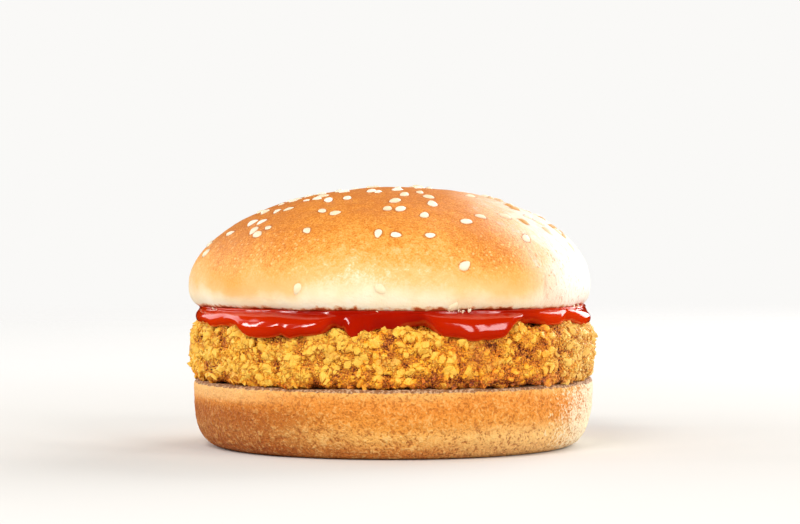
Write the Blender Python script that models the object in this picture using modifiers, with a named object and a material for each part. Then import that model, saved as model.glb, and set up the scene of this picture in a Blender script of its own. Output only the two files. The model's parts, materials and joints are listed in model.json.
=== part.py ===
"""A veggie burger: bottom bun, crumbed patty, a layer of ketchup that runs over the patty's edge, and top bun.

Metres, +Z up. The origin is on the table, under the middle of the burger. A bearing is an angle round
the burger: 0 faces the viewer, at -Y, and it grows towards +X.
"""

import math

import bmesh
import bpy
from mathutils import Vector

MM = 0.001

# Driving dimensions.
BUN_RADIUS = 50.0 * MM
BURGER_HEIGHT = 65.2 * MM
BOTTOM_BUN_HEIGHT = 16.6 * MM
PATTY_THICKNESS = 15.1 * MM
KETCHUP_THICKNESS = 2.7 * MM
CONTACT_GAP = 0.3 * MM

STEPS_ROUND = 80

# Heights of the faces at which the layers meet.
PATTY_BASE = BOTTOM_BUN_HEIGHT + CONTACT_GAP
PATTY_TOP = PATTY_BASE + PATTY_THICKNESS
KETCHUP_BASE = PATTY_TOP + CONTACT_GAP
KETCHUP_TOP = KETCHUP_BASE + KETCHUP_THICKNESS
TOP_BUN_BASE = KETCHUP_TOP + CONTACT_GAP

# Bottom bun: a straight side over a foot that curls in to the flat base.
FOOT_INSET = 6.8 * MM
FOOT_HEIGHT = 11.0 * MM
FOOT_POWER = 2.2
RIM_INSET = 0.9 * MM
RIM_HEIGHT = 1.5 * MM

# Patty: a thick disc, rounded more at its top edge than at its base.
PATTY_RADIUS = BUN_RADIUS + 0.4 * MM
SHOULDER_INSET = 5.2 * MM
SHOULDER_HEIGHT = 4.8 * MM
PATTY_FOOT_INSET = 3.6 * MM
PATTY_FOOT_HEIGHT = 3.4 * MM

# Top bun: half an ellipsoid over a lip that curls in to the cut face.
LIP_INSET = 2.4 * MM
LIP_HEIGHT = 4.6 * MM
DOME_LEAN = 2.0 * MM
TOP_BUN_SLIP = -1.0 * MM

# Ketchup: the bead at its edge, and the tongues in which it runs down the patty.
KETCHUP_NECK = 44.0 * MM
BEAD_TOP_RADIUS = 46.6 * MM
BEAD_SWELL = 1.9 * MM
TONGUE_SWELL = 0.9 * MM
LIP_DROP = 0.9 * MM
TONGUE_BLUNTNESS = 1.6

# Each tongue: bearing of its middle, half of its spread, both in degrees, and how far it runs down.
TONGUES = (
    (-62, 14, 0.6 * MM),
    (-37, 12, 2.8 * MM),
    (-23, 9, 2.0 * MM),
    (-10, 8, 2.8 * MM),
    (18, 10, 2.0 * MM),
    (28, 12, 2.6 * MM),
    (50, 9, 0.4 * MM),
    (73, 10, 0.9 * MM),
    (107, 12, 2.4 * MM),
    (130, 10, 1.2 * MM),
    (152, 14, 2.9 * MM),
    (177, 9, 1.6 * MM),
    (203, 14, 2.8 * MM),
    (229, 11, 0.9 * MM),
    (249, 11, 2.3 * MM),
    (275, 9, 0.6 * MM),
)

# Out-of-round waves: how many to a turn, height as a share of the radius, and the first crest's bearing.
TOP_BUN_WAVES = ((2, 0.0050, 70), (3, 0.0035, 20), (5, 0.0020, -40))
BOTTOM_BUN_WAVES = ((2, 0.0040, 95), (3, 0.0030, -15), (4, 0.0020, 30))
PATTY_WAVES = ((2, 0.0040, 80), (3, 0.0050, 55), (7, 0.0030, 10))

COLOURS = {
    "top_bun": (0.86, 0.50, 0.20),
    "ketchup": (0.62, 0.03, 0.01),
    "patty": (0.78, 0.44, 0.11),
    "bottom_bun": (0.72, 0.36, 0.13),
}
ROUGHNESS = {"top_bun": 0.5, "ketchup": 0.12, "patty": 0.75, "bottom_bun": 0.65}


def waves(bearing, terms):
    """The out-of-round swell at a bearing, in radians, as a share of the radius."""
    return sum(share * math.cos(count * (bearing - math.radians(crest))) for count, share, crest in terms)


def bearing_of(point):
    """The bearing of a point, in radians."""
    return math.atan2(point.x, -point.y)


def placed(bearing, radius, height):
    """The point at a bearing, a distance from the axis and a height."""
    return Vector((radius * math.sin(bearing), -radius * math.cos(bearing), height))


def quarter(steps, power=2.0):
    """Points of a rounded corner from (1, 0) to (0, 1), as a superellipse of that power."""
    points = []
    for step in range(steps + 1):
        turn = math.pi / 2 * step / steps
        along = math.cos(turn) if step < steps else 0.0
        points.append((along ** (2 / power), math.sin(turn) ** (2 / power)))
    return points


def top_bun_profile():
    """Radius and height from the dome's top, down its outside, to the middle of the cut face."""
    widest = TOP_BUN_BASE + LIP_HEIGHT
    rise = BURGER_HEIGHT - widest
    dome = [(BUN_RADIUS * out, widest + rise * up) for up, out in quarter(12)]
    lip = [
        (BUN_RADIUS - LIP_INSET + LIP_INSET * out, widest - LIP_HEIGHT * down)
        for out, down in quarter(3)[1:]
    ]
    return dome + lip + [(0.0, TOP_BUN_BASE)]


def bottom_bun_profile():
    """Radius and height from the middle of the cut face, down the side, to the middle of the base."""
    rim = [
        (BUN_RADIUS - RIM_INSET + RIM_INSET * out, BOTTOM_BUN_HEIGHT - RIM_HEIGHT + RIM_HEIGHT * up)
        for up, out in quarter(3)
    ]
    foot = [
        (BUN_RADIUS - FOOT_INSET + FOOT_INSET * out, FOOT_HEIGHT - FOOT_HEIGHT * down)
        for out, down in quarter(7, FOOT_POWER)
    ]
    return [(0.0, BOTTOM_BUN_HEIGHT)] + rim + foot + [(0.0, 0.0)]


def patty_profile():
    """Radius and height from the middle of the patty's top, down the side, to the middle of its base."""
    shoulder = [
        (PATTY_RADIUS - SHOULDER_INSET + SHOULDER_INSET * out, PATTY_TOP - SHOULDER_HEIGHT + SHOULDER_HEIGHT * up)
        for up, out in quarter(5)
    ]
    foot = [
        (PATTY_RADIUS - PATTY_FOOT_INSET + PATTY_FOOT_INSET * out, PATTY_BASE + PATTY_FOOT_HEIGHT * (1 - down))
        for out, down in quarter(4)
    ]
    return [(0.0, PATTY_TOP)] + shoulder + foot + [(0.0, PATTY_BASE)]


def turned_mesh(name, profile):
    """A profile of radii and heights turned about the vertical axis, as a closed mesh."""
    mesh = bpy.data.meshes.new(name + "_profile")
    links = [(index, index + 1) for index in range(len(profile) - 1)]
    mesh.from_pydata([(radius, 0.0, height) for radius, height in profile], links, [])
    helper = bpy.data.objects.new(name + "_profile", mesh)
    bpy.context.scene.collection.objects.link(helper)
    screw = helper.modifiers.new("turn", "SCREW")
    screw.axis = "Z"
    screw.steps = STEPS_ROUND
    screw.render_steps = STEPS_ROUND
    screw.use_merge_vertices = True
    screw.merge_threshold = 0.00001
    graph = bpy.context.evaluated_depsgraph_get()
    solid = bpy.data.meshes.new_from_object(helper.evaluated_get(graph))
    solid.name = name
    bpy.data.objects.remove(helper)
    bpy.data.meshes.remove(mesh)
    return solid


def swell(mesh, terms):
    """Moves a turned mesh out of round by its waves."""
    for vertex in mesh.vertices:
        gain = 1 + waves(bearing_of(vertex.co), terms)
        vertex.co.x *= gain
        vertex.co.y *= gain


def make_top_bun():
    """The domed top bun, which leans a little and sits a little off the middle."""
    mesh = turned_mesh("top_bun", top_bun_profile())
    swell(mesh, TOP_BUN_WAVES)
    widest = TOP_BUN_BASE + LIP_HEIGHT
    for vertex in mesh.vertices:
        climb = max(0.0, (vertex.co.z - widest) / (BURGER_HEIGHT - widest))
        vertex.co.x += TOP_BUN_SLIP + DOME_LEAN * climb**2
    return mesh


def make_bottom_bun():
    """The bottom bun, flat where it stands."""
    mesh = turned_mesh("bottom_bun", bottom_bun_profile())
    swell(mesh, BOTTOM_BUN_WAVES)
    return mesh


def make_patty():
    """The crumbed patty, out to the middle of its crumbs."""
    mesh = turned_mesh("patty", patty_profile())
    swell(mesh, PATTY_WAVES)
    return mesh


def tongue_drop(bearing):
    """How far the tongues at a bearing run down below the bead."""
    drop = 0.0
    for middle, spread, length in TONGUES:
        away = bearing - math.radians(middle)
        away = abs(math.remainder(away, 2 * math.pi)) / math.radians(spread)
        if away < 1:
            drop += length * (1 + math.cos(math.pi * away**TONGUE_BLUNTNESS)) / 2
    return drop


def over_shoulder(bearing, turn):
    """Radius and height of the ketchup's underside, where it lies on the patty's rounded shoulder."""
    gain = 1 + waves(bearing, PATTY_WAVES)
    radius = (PATTY_RADIUS - SHOULDER_INSET + SHOULDER_INSET * math.sin(turn)) * gain
    height = PATTY_TOP - SHOULDER_HEIGHT + SHOULDER_HEIGHT * math.cos(turn)
    return radius + CONTACT_GAP * math.sin(turn), height + CONTACT_GAP * math.cos(turn)


def bezier(points, share):
    """The point at a share of a cubic curve with four control points, each a radius and a height."""
    rest = 1 - share
    weights = (rest**3, 3 * rest**2 * share, 3 * rest * share**2, share**3)
    return tuple(sum(w * p[axis] for w, p in zip(weights, points, strict=True)) for axis in (0, 1))


def ketchup_section(bearing):
    """The ketchup's cut edge at a bearing, from its neck underneath, over the shoulder, to its neck on top."""
    tongue = tongue_drop(bearing)
    last_turn = math.acos(1 - (LIP_DROP + tongue) / SHOULDER_HEIGHT)
    under_steps, outer_steps = 4, 7
    under = [over_shoulder(bearing, last_turn * step / under_steps) for step in range(under_steps + 1)]
    tip = under[-1]
    swell_out = BEAD_SWELL + TONGUE_SWELL * tongue / max(length for _, _, length in TONGUES)
    controls = (
        tip,
        (tip[0] + 0.75 * swell_out, tip[1] - 0.8 * MM),
        (BEAD_TOP_RADIUS + swell_out + 1.1 * MM, KETCHUP_TOP),
        (BEAD_TOP_RADIUS, KETCHUP_TOP),
    )
    outer = [bezier(controls, step / outer_steps) for step in range(1, outer_steps + 1)]
    return [(KETCHUP_NECK, KETCHUP_BASE)] + under + outer + [(KETCHUP_NECK, KETCHUP_TOP)]


def make_ketchup():
    """The ketchup, as a loft of its section round the burger, closed by a flat disc above and below."""
    loft = bmesh.new()
    rings = []
    for step in range(STEPS_ROUND):
        # A turned mesh starts at +X, so these bearings are the ones of its corners.
        bearing = math.pi / 2 + 2 * math.pi * step / STEPS_ROUND
        rings.append([loft.verts.new(placed(bearing, *point)) for point in ketchup_section(bearing)])
    for ring, following in zip(rings, rings[1:] + rings[:1], strict=True):
        for low in range(len(ring) - 1):
            loft.faces.new((ring[low], following[low], following[low + 1], ring[low + 1]))
    loft.faces.new([ring[0] for ring in reversed(rings)])
    loft.faces.new([ring[-1] for ring in rings])
    bmesh.ops.recalc_face_normals(loft, faces=loft.faces)
    mesh = bpy.data.meshes.new("ketchup")
    loft.to_mesh(mesh)
    loft.free()
    return mesh


def food_material(name):
    """The plain finish of one layer."""
    material = bpy.data.materials.new(name)
    material.use_nodes = True
    shader = material.node_tree.nodes["Principled BSDF"]
    shader.inputs["Base Color"].default_value = (*COLOURS[name], 1.0)
    shader.inputs["Roughness"].default_value = ROUGHNESS[name]
    shader.inputs["Metallic"].default_value = 0.0
    return material


def centre_over_origin(meshes):
    """Slides all the layers together, so that the middle of the burger's box is over the origin."""
    points = [vertex.co for mesh in meshes for vertex in mesh.vertices]
    middle = [(min(p[axis] for p in points) + max(p[axis] for p in points)) / 2 for axis in (0, 1)]
    for mesh in meshes:
        for vertex in mesh.vertices:
            vertex.co.x -= middle[0]
            vertex.co.y -= middle[1]


def main():
    """Builds the four layers in one collection."""
    for old in list(bpy.data.objects):
        bpy.data.objects.remove(old)
    burger = bpy.data.collections.new("veggie_burger")
    bpy.context.scene.collection.children.link(burger)
    meshes = [make_bottom_bun(), make_patty(), make_ketchup(), make_top_bun()]
    centre_over_origin(meshes)
    for mesh in meshes:
        mesh.materials.append(food_material(mesh.name))
        mesh.shade_smooth()
        mesh.set_sharp_from_angle(angle=math.radians(40))
        burger.objects.link(bpy.data.objects.new(mesh.name, mesh))


main()
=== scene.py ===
"""The looks of a veggie burger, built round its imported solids.

Metres, +Z up. A bearing is an angle round the burger: 0 faces the viewer, at -Y, and it grows towards +X.
"""

import json
import logging
import math
import random
from collections.abc import Callable, Iterator
from dataclasses import dataclass, field
from enum import Enum

import bmesh
import bpy
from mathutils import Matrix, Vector, noise
from mathutils.bvhtree import BVHTree

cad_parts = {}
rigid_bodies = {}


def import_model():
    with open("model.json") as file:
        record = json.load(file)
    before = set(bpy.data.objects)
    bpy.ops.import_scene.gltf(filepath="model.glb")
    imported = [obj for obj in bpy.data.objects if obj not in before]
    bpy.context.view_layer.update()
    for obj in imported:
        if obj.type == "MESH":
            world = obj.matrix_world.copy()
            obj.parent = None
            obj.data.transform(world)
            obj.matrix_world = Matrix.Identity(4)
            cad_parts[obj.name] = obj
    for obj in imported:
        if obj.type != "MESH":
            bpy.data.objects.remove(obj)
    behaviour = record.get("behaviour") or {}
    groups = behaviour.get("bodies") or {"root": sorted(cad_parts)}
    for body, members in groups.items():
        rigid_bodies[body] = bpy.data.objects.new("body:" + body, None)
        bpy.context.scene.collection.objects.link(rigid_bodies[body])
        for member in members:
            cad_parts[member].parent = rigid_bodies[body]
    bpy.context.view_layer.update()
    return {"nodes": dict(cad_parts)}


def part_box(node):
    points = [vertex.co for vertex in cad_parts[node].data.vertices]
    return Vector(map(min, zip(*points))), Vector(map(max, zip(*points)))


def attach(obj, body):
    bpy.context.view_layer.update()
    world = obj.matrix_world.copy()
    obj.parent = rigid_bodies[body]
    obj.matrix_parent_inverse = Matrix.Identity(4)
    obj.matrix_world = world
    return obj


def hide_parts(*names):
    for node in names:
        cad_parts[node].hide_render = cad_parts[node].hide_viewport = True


log = logging.getLogger("burger")

MM = 0.001
BODY = "root"
NOISE_STRIDE = 7.3
Colour = tuple[int, int, int]
Stops = tuple[tuple[float, Colour], ...]
Section = list[tuple[float, float]]
Waves = tuple[tuple[int, float, float], ...]
Spots = list[tuple[Vector, Vector, float]]


# ---------------------------------------------------------------- small tools


def placed(bearing: float, radius: float, height: float, axis: Vector) -> Vector:
    """Finds the point at a bearing, a distance from the axis and a height.

    Args:
        bearing: angle round the burger, in radians.
        radius: distance from the axis.
        height: height over the table.
        axis: where the burger's axis meets the table.

    Returns:
        The point.
    """
    return axis + Vector((radius * math.sin(bearing), -radius * math.cos(bearing), height))


def smooth(low: float, high: float, value: float) -> float:
    """Eases from 0 at low to 1 at high."""
    share = min(1.0, max(0.0, (value - low) / (high - low)))
    return share * share * (3 - 2 * share)


def wander(bearing: float, spacing: float, seed: float, level: float = 0.0) -> float:
    """Gives a smooth random value from about -1 to 1 that closes on itself round the burger.

    Args:
        bearing: angle round the burger, in radians.
        spacing: how far apart its swings are, in degrees.
        seed: picks one such value out of many.
        level: moves it smoothly into another one, for a value that also changes with height.

    Returns:
        The value.
    """
    reach = 180 / (math.pi * spacing)
    height = seed * NOISE_STRIDE + level
    return noise.noise(Vector((reach * math.sin(bearing), reach * math.cos(bearing), height)))


def bulge(bearing: float, waves: Waves) -> float:
    """Finds how far an outline stands out from a circle at a bearing, as a share of its radius.

    Args:
        bearing: angle round the burger, in radians.
        waves: for each wave, how often it swells, by what share, and where it does first, in degrees.

    Returns:
        The share.
    """
    return sum(share * math.cos(count * (bearing - math.radians(crest))) for count, share, crest in waves)


def shade(colour: Colour) -> tuple[float, ...]:
    """Turns a display colour, each part from 0 to 255, into the linear one that a shader takes.

    Args:
        colour: the display colour.

    Returns:
        The linear colour.
    """
    parts = [part / 255 for part in colour]
    # The curve of sRGB: straight near black, and a power above.
    return tuple(p / 12.92 if p <= 0.04045 else ((p + 0.055) / 1.055) ** 2.4 for p in parts)


def linked(name: str, data: bpy.types.ID) -> bpy.types.Object:
    """Puts a mesh, light or camera on an object in the scene.

    Args:
        name: the object's name.
        data: the mesh, light or camera.

    Returns:
        The object.
    """
    thing = bpy.data.objects.new(name, data)
    bpy.context.scene.collection.objects.link(thing)
    return thing


def as_mesh(name: str, shape: bmesh.types.BMesh) -> bpy.types.Mesh:
    """Turns an edited shape into a mesh, and frees it.

    Args:
        name: the mesh's name.
        shape: the edited shape.

    Returns:
        The mesh.
    """
    mesh = bpy.data.meshes.new(name)
    shape.to_mesh(mesh)
    shape.free()
    return mesh


def corner(steps: int, power: float = 2.0) -> Iterator[tuple[float, float]]:
    """Walks a rounded corner from (1, 0) to (0, 1), as a superellipse of that power.

    Args:
        steps: how many steps it takes.
        power: 2 for a round corner, more for a fuller one.

    Returns:
        The corner's points, one after another.
    """
    for step in range(steps + 1):
        turn = math.pi / 2 * step / steps
        along = math.cos(turn) if step < steps else 0.0
        yield along ** (2 / power), math.sin(turn) ** (2 / power)


def curve_through(points: Section, steps: int) -> Section:
    """Rounds a row of control points into a smooth curve from the first to the last.

    Args:
        points: control points, each a radius and a height.
        steps: how many steps the curve takes for each control point.

    Returns:
        The points of a uniform cubic B-spline.
    """
    row = [points[0]] * 2 + points + [points[-1]] * 2
    curve = []
    for index in range(len(row) - 3):
        for step in range(steps):
            t = step / steps
            weights = ((1 - t) ** 3, 3 * t**3 - 6 * t**2 + 4, -3 * t**3 + 3 * t**2 + 3 * t + 1, t**3)
            near = row[index : index + 4]
            curve.append(tuple(sum(w * p[axis] for w, p in zip(weights, near)) / 6 for axis in (0, 1)))
    return curve + [points[-1]]


@dataclass(frozen=True)
class Layers:
    """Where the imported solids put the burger's axis and the heights at which its layers meet."""

    axis: Vector
    bottom_bun: tuple[float, float]
    patty: tuple[float, float]
    ketchup: tuple[float, float]
    top_bun: tuple[float, float]

    @classmethod
    def of_frame(cls, nodes: dict[str, bpy.types.Object]) -> "Layers":
        """Reads the layers from the frame.

        Args:
            nodes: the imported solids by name.

        Returns:
            The layers.
        """
        spans = {name: (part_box(name)[0].z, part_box(name)[1].z) for name in nodes}
        foot = [v.co for v in nodes["bottom_bun"].data.vertices if v.co.z < 0.01 * MM]
        # The corners of the base are evenly spaced round the axis, once each is counted once.
        corners = {(round(point.x, 6), round(point.y, 6)) for point in foot}
        middle = [sum(corner[side] for corner in corners) / len(corners) for side in (0, 1)]
        return cls(Vector((*middle, 0.0)), **spans)


# ---------------------------------------------------------------- node graphs


class Wire:
    """An output socket of a node, which takes part in sums and products."""

    def __init__(self, graph: "Graph", socket: bpy.types.NodeSocket) -> None:
        """Keeps the socket and the graph that it is in."""
        self.graph = graph
        self.socket = socket

    def __add__(self, other: "Wire | float") -> "Wire":
        """Adds."""
        return self.graph.maths("ADD", self, other)

    def __sub__(self, other: "Wire | float") -> "Wire":
        """Subtracts."""
        return self.graph.maths("SUBTRACT", self, other)

    def __rsub__(self, other: float) -> "Wire":
        """Subtracts this from a number."""
        return self.graph.maths("SUBTRACT", other, self)

    def __mul__(self, other: "Wire | float") -> "Wire":
        """Multiplies."""
        return self.graph.maths("MULTIPLY", self, other)

    def __truediv__(self, other: "Wire | float") -> "Wire":
        """Divides."""
        return self.graph.maths("DIVIDE", self, other)

    def __rtruediv__(self, other: float) -> "Wire":
        """Divides a number by this."""
        return self.graph.maths("DIVIDE", other, self)

    def __pow__(self, other: float) -> "Wire":
        """Raises to a power."""
        return self.graph.maths("POWER", self, other)

    __radd__ = __add__
    __rmul__ = __mul__

    def ease(self, low: float, high: float) -> "Wire":
        """Eases from 0 at low to 1 at high; low may be the larger."""
        sockets = {"Value": self, "From Min": low, "From Max": high}
        return self.graph.node("ShaderNodeMapRange", {"interpolation_type": "SMOOTHSTEP"}, sockets)["Result"]


class Made:
    """A node, whose outputs are looked up by name."""

    def __init__(self, graph: "Graph", node: bpy.types.Node) -> None:
        """Keeps the node and the graph that it is in."""
        self.graph = graph
        self.node = node

    def __getitem__(self, name: str) -> Wire:
        """Finds an output."""
        return Wire(self.graph, Graph.socket(self.node.outputs, name))


class Graph:
    """A node tree that is written as Python expressions."""

    def __init__(self, tree: bpy.types.NodeTree) -> None:
        """Takes the tree to write in."""
        self.tree = tree

    @staticmethod
    def socket(sockets: bpy.types.NodeInputs | bpy.types.NodeOutputs, name: str) -> bpy.types.NodeSocket:
        """Finds the socket of that name that the node's settings leave in use."""
        return next(s for s in sockets if s.name == name and s.enabled)

    def plug(self, socket: bpy.types.NodeSocket, value: object) -> None:
        """Links a wire to an input, or sets the input to a value.

        Args:
            socket: the input.
            value: a wire, or what the socket holds: a number, a vector, a colour, a name or a data block.
        """
        if isinstance(value, Wire):
            self.tree.links.new(value.socket, socket)
        elif socket.type == "RGBA":
            socket.default_value = (*shade(value), 1.0)
        elif socket.type == "VECTOR" and isinstance(value, (int, float)):
            socket.default_value = (value, value, value)
        else:
            socket.default_value = value

    def node(self, kind: str, settings: dict | None = None, sockets: dict | None = None) -> Made:
        """Makes any node.

        Args:
            kind: the node's type.
            settings: its own properties, set first; "stops" is a colour ramp's list of places and colours.
            sockets: the values or wires of its inputs, by name.

        Returns:
            The node.
        """
        node = self.tree.nodes.new(kind)
        settings = dict(settings or {})
        stops = settings.pop("stops", ())
        for name, value in settings.items():
            setattr(node, name, value)
        for index, (place, colour) in enumerate(stops):
            held = node.color_ramp.elements
            stop = held[index] if index < 2 else held.new(place)
            stop.position = place
            stop.color = (*shade(colour), 1.0)
        for name, value in (sockets or {}).items():
            self.plug(self.socket(node.inputs, name), value)
        return Made(self, node)

    def maths(self, operation: str, *terms: Wire | float) -> Wire:
        """Adds a Math node, or a Vector Math node where a term is a vector.

        Args:
            operation: the node's operation.
            terms: its inputs in order, wires or numbers.

        Returns:
            The result.
        """
        vector = any(isinstance(term, Wire) and term.socket.type == "VECTOR" for term in terms)
        node = self.tree.nodes.new("ShaderNodeVectorMath" if vector else "ShaderNodeMath")
        node.operation = operation
        for socket, term in zip(node.inputs, terms):
            self.plug(socket, term)
        return Wire(self, next(s for s in node.outputs if s.enabled))

    def split(self, place: Wire) -> tuple[Wire, Wire, Wire]:
        """Gives the three parts of a vector."""
        parts = self.node("ShaderNodeSeparateXYZ", sockets={"Vector": place})
        return parts["X"], parts["Y"], parts["Z"]

    def stored(self, name: str) -> Wire:
        """Reads a number that is stored on the mesh."""
        return self.node("ShaderNodeAttribute", {"attribute_name": name})["Fac"]

    def mix(self, share: Wire | float, start: Wire | Colour, end: Wire | Colour) -> Wire:
        """Blends two colours.

        Args:
            share: how much of the end colour.
            start: the colour at share 0.
            end: the colour at share 1.

        Returns:
            The colour.
        """
        sockets = {"Factor": share, "A": start, "B": end}
        return self.node("ShaderNodeMix", {"data_type": "RGBA"}, sockets)["Result"]

    def coats(self, colour: Wire | Colour, *coats: tuple[Wire | float, Wire | Colour]) -> Wire:
        """Lays coats of colour over each other.

        Args:
            colour: the colour underneath.
            coats: how much there is of each coat and its colour, from the lowest one up.

        Returns:
            The colour.
        """
        for share, coat in coats:
            colour = self.mix(share, colour, coat)
        return colour

    def ramp(self, share: Wire, stops: Stops) -> Wire:
        """Turns a value into a colour by stops."""
        return self.node("ShaderNodeValToRGB", {"stops": stops}, {"Fac": share})["Color"]

    def grain(self, place: Wire, size: float, detail: float, twist: float = 0.0) -> Wire:
        """Makes cloudy noise, from 0 to 1.

        Args:
            place: where on the piece.
            size: the clouds' size, in metres.
            detail: how many finer octaves it has.
            twist: how much it is distorted.

        Returns:
            The value.
        """
        sockets = {"Vector": place, "Scale": 1 / size, "Detail": detail, "Distortion": twist}
        return self.node("ShaderNodeTexNoise", {"noise_dimensions": "3D"}, sockets)["Fac"]

    def cells(self, place: Wire, size: float) -> Wire:
        """Makes a pattern of cells of a size: how far each place is from the middle of its own, in cells."""
        sockets = {"Vector": place, "Scale": 1 / size}
        return self.node("ShaderNodeTexVoronoi", {"feature": "F1"}, sockets)["Distance"]


class ShapeTree(Graph):
    """A Geometry Nodes tree that is run once on a mesh."""

    def __init__(self, name: str) -> None:
        """Starts a tree with geometry going in and out.

        Args:
            name: the tree's name.
        """
        super().__init__(bpy.data.node_groups.new(name, "GeometryNodeTree"))
        self.tree.interface.new_socket("Geometry", in_out="INPUT", socket_type="NodeSocketGeometry")
        self.tree.interface.new_socket("Geometry", in_out="OUTPUT", socket_type="NodeSocketGeometry")
        self.settings: dict[str, object] = {}

    def given(self, name: str, kind: str, value: object) -> Wire:
        """Adds a named input.

        Args:
            name: its name.
            kind: its socket type, without the word NodeSocket.
            value: what it is set to when the tree is run.

        Returns:
            The input's wire.
        """
        item = self.tree.interface.new_socket(name, in_out="INPUT", socket_type="NodeSocket" + kind)
        self.settings[item.identifier] = value
        return self.node("NodeGroupInput")[name]

    def geometry(self) -> Wire:
        """Gives the mesh that the tree is run on."""
        return self.node("NodeGroupInput")["Geometry"]

    def store(self, geometry: Wire, name: str, value: Wire, domain: str = "POINT") -> Wire:
        """Stores a number on a geometry.

        Args:
            geometry: the geometry.
            name: the number's name.
            value: the number.
            domain: what has one of its own: each point or each instance.

        Returns:
            The geometry with the number.
        """
        settings = {"data_type": "FLOAT", "domain": domain}
        sockets = {"Geometry": geometry, "Name": name, "Value": value}
        return self.node("GeometryNodeStoreNamedAttribute", settings, sockets)["Geometry"]

    def run(self, target: bpy.types.Object, result: Wire, material: bpy.types.Material) -> None:
        """Runs the tree on an object and keeps what comes out as its plain mesh.

        Args:
            target: the object.
            result: the geometry to keep.
            material: what it is made of.
        """
        real = self.node("GeometryNodeRealizeInstances", {}, {"Geometry": result})["Geometry"]
        sockets = {"Geometry": real, "Material": self.given("finish", "Material", material)}
        made = self.node("GeometryNodeSetMaterial", {}, sockets)["Geometry"]
        self.tree.links.new(made.socket, self.tree.nodes.new("NodeGroupOutput").inputs[0])
        modifier = target.modifiers.new(self.tree.name, "NODES")
        modifier.node_group = self.tree
        for identifier, value in self.settings.items():
            modifier[identifier] = value
        graph = bpy.context.evaluated_depsgraph_get()
        mesh = bpy.data.meshes.new_from_object(target.evaluated_get(graph))
        target.modifiers.clear()
        old = target.data
        target.data = mesh
        mesh.name = target.name
        bpy.data.meshes.remove(old)
        bpy.data.node_groups.remove(self.tree)


# ---------------------------------------------------------------- finishes


def plain_material(
    name: str, constants: dict[str, object]
) -> tuple[bpy.types.Material, bpy.types.ShaderNode]:
    """Makes a material with one shader.

    Args:
        name: the material's name.
        constants: what the shader's own sockets are set to, by name.

    Returns:
        The material and its shader.
    """
    material = bpy.data.materials.new(name)
    material.use_nodes = True
    shader = material.node_tree.nodes["Principled BSDF"]
    for socket, value in constants.items():
        shader.inputs[socket].default_value = value
    return material, shader


@dataclass(frozen=True)
class Finish:
    """What every finish has: its name and the constants of its shader."""

    name: str
    roughness: float = 0.5
    gloss: float = 0.5
    sheen: float = 0.0
    glow: float = 0.0
    glow_reach: tuple[float, float, float] = (1.0 * MM, 0.5 * MM, 0.25 * MM)

    def material(self) -> bpy.types.Material:
        """Makes the material.

        Returns:
            A material with this finish's pattern.
        """
        constants = {
            "Roughness": self.roughness,
            "Specular IOR Level": self.gloss,
            "Sheen Weight": self.sheen,
            "Sheen Roughness": 0.4,
            "Subsurface Weight": self.glow,
            "Subsurface Scale": 1.0,
            "Subsurface Radius": self.glow_reach,
        }
        material, shader = plain_material(self.name, constants)
        graph = Graph(material.node_tree)
        for name, value in self.pattern(graph, graph.node("ShaderNodeTexCoord")["Object"]).items():
            graph.plug(shader.inputs[name], value)
        return material

    def pattern(self, graph: Graph, place: Wire) -> dict[str, Wire]:
        """Works out what changes over the surface.

        Args:
            graph: the material's nodes.
            place: where on the piece, in metres.

        Returns:
            The shader's varying inputs by name.
        """
        raise NotImplementedError

    @staticmethod
    def bumps(graph: Graph, height: Wire, depth: float) -> Wire:
        """Turns a relief from 0 to 1 and its depth in metres into a normal."""
        return graph.node("ShaderNodeBump", sockets={"Height": height, "Distance": depth})["Normal"]


@dataclass(frozen=True)
class Patch:
    """A soft round patch, 1 as far as inner from its middle and 0 from outer on.

    Its middle is given by its bearing in degrees, its distance from the axis and its height.
    """

    bearing: float
    radius: float
    height: float
    inner: float
    outer: float

    def on(self, graph: Graph, place: Wire, foot: Vector, ragged: Wire) -> Wire:
        """Makes the patch.

        Args:
            graph: the material's nodes.
            place: where on the piece.
            foot: the point of the burger's axis that the patch's height is counted from.
            ragged: how far its outline is moved, in metres.

        Returns:
            The patch's strength.
        """
        middle = placed(math.radians(self.bearing), self.radius, self.height, foot)
        return (graph.maths("DISTANCE", place, tuple(middle)) + ragged).ease(self.outer, self.inner)


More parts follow.
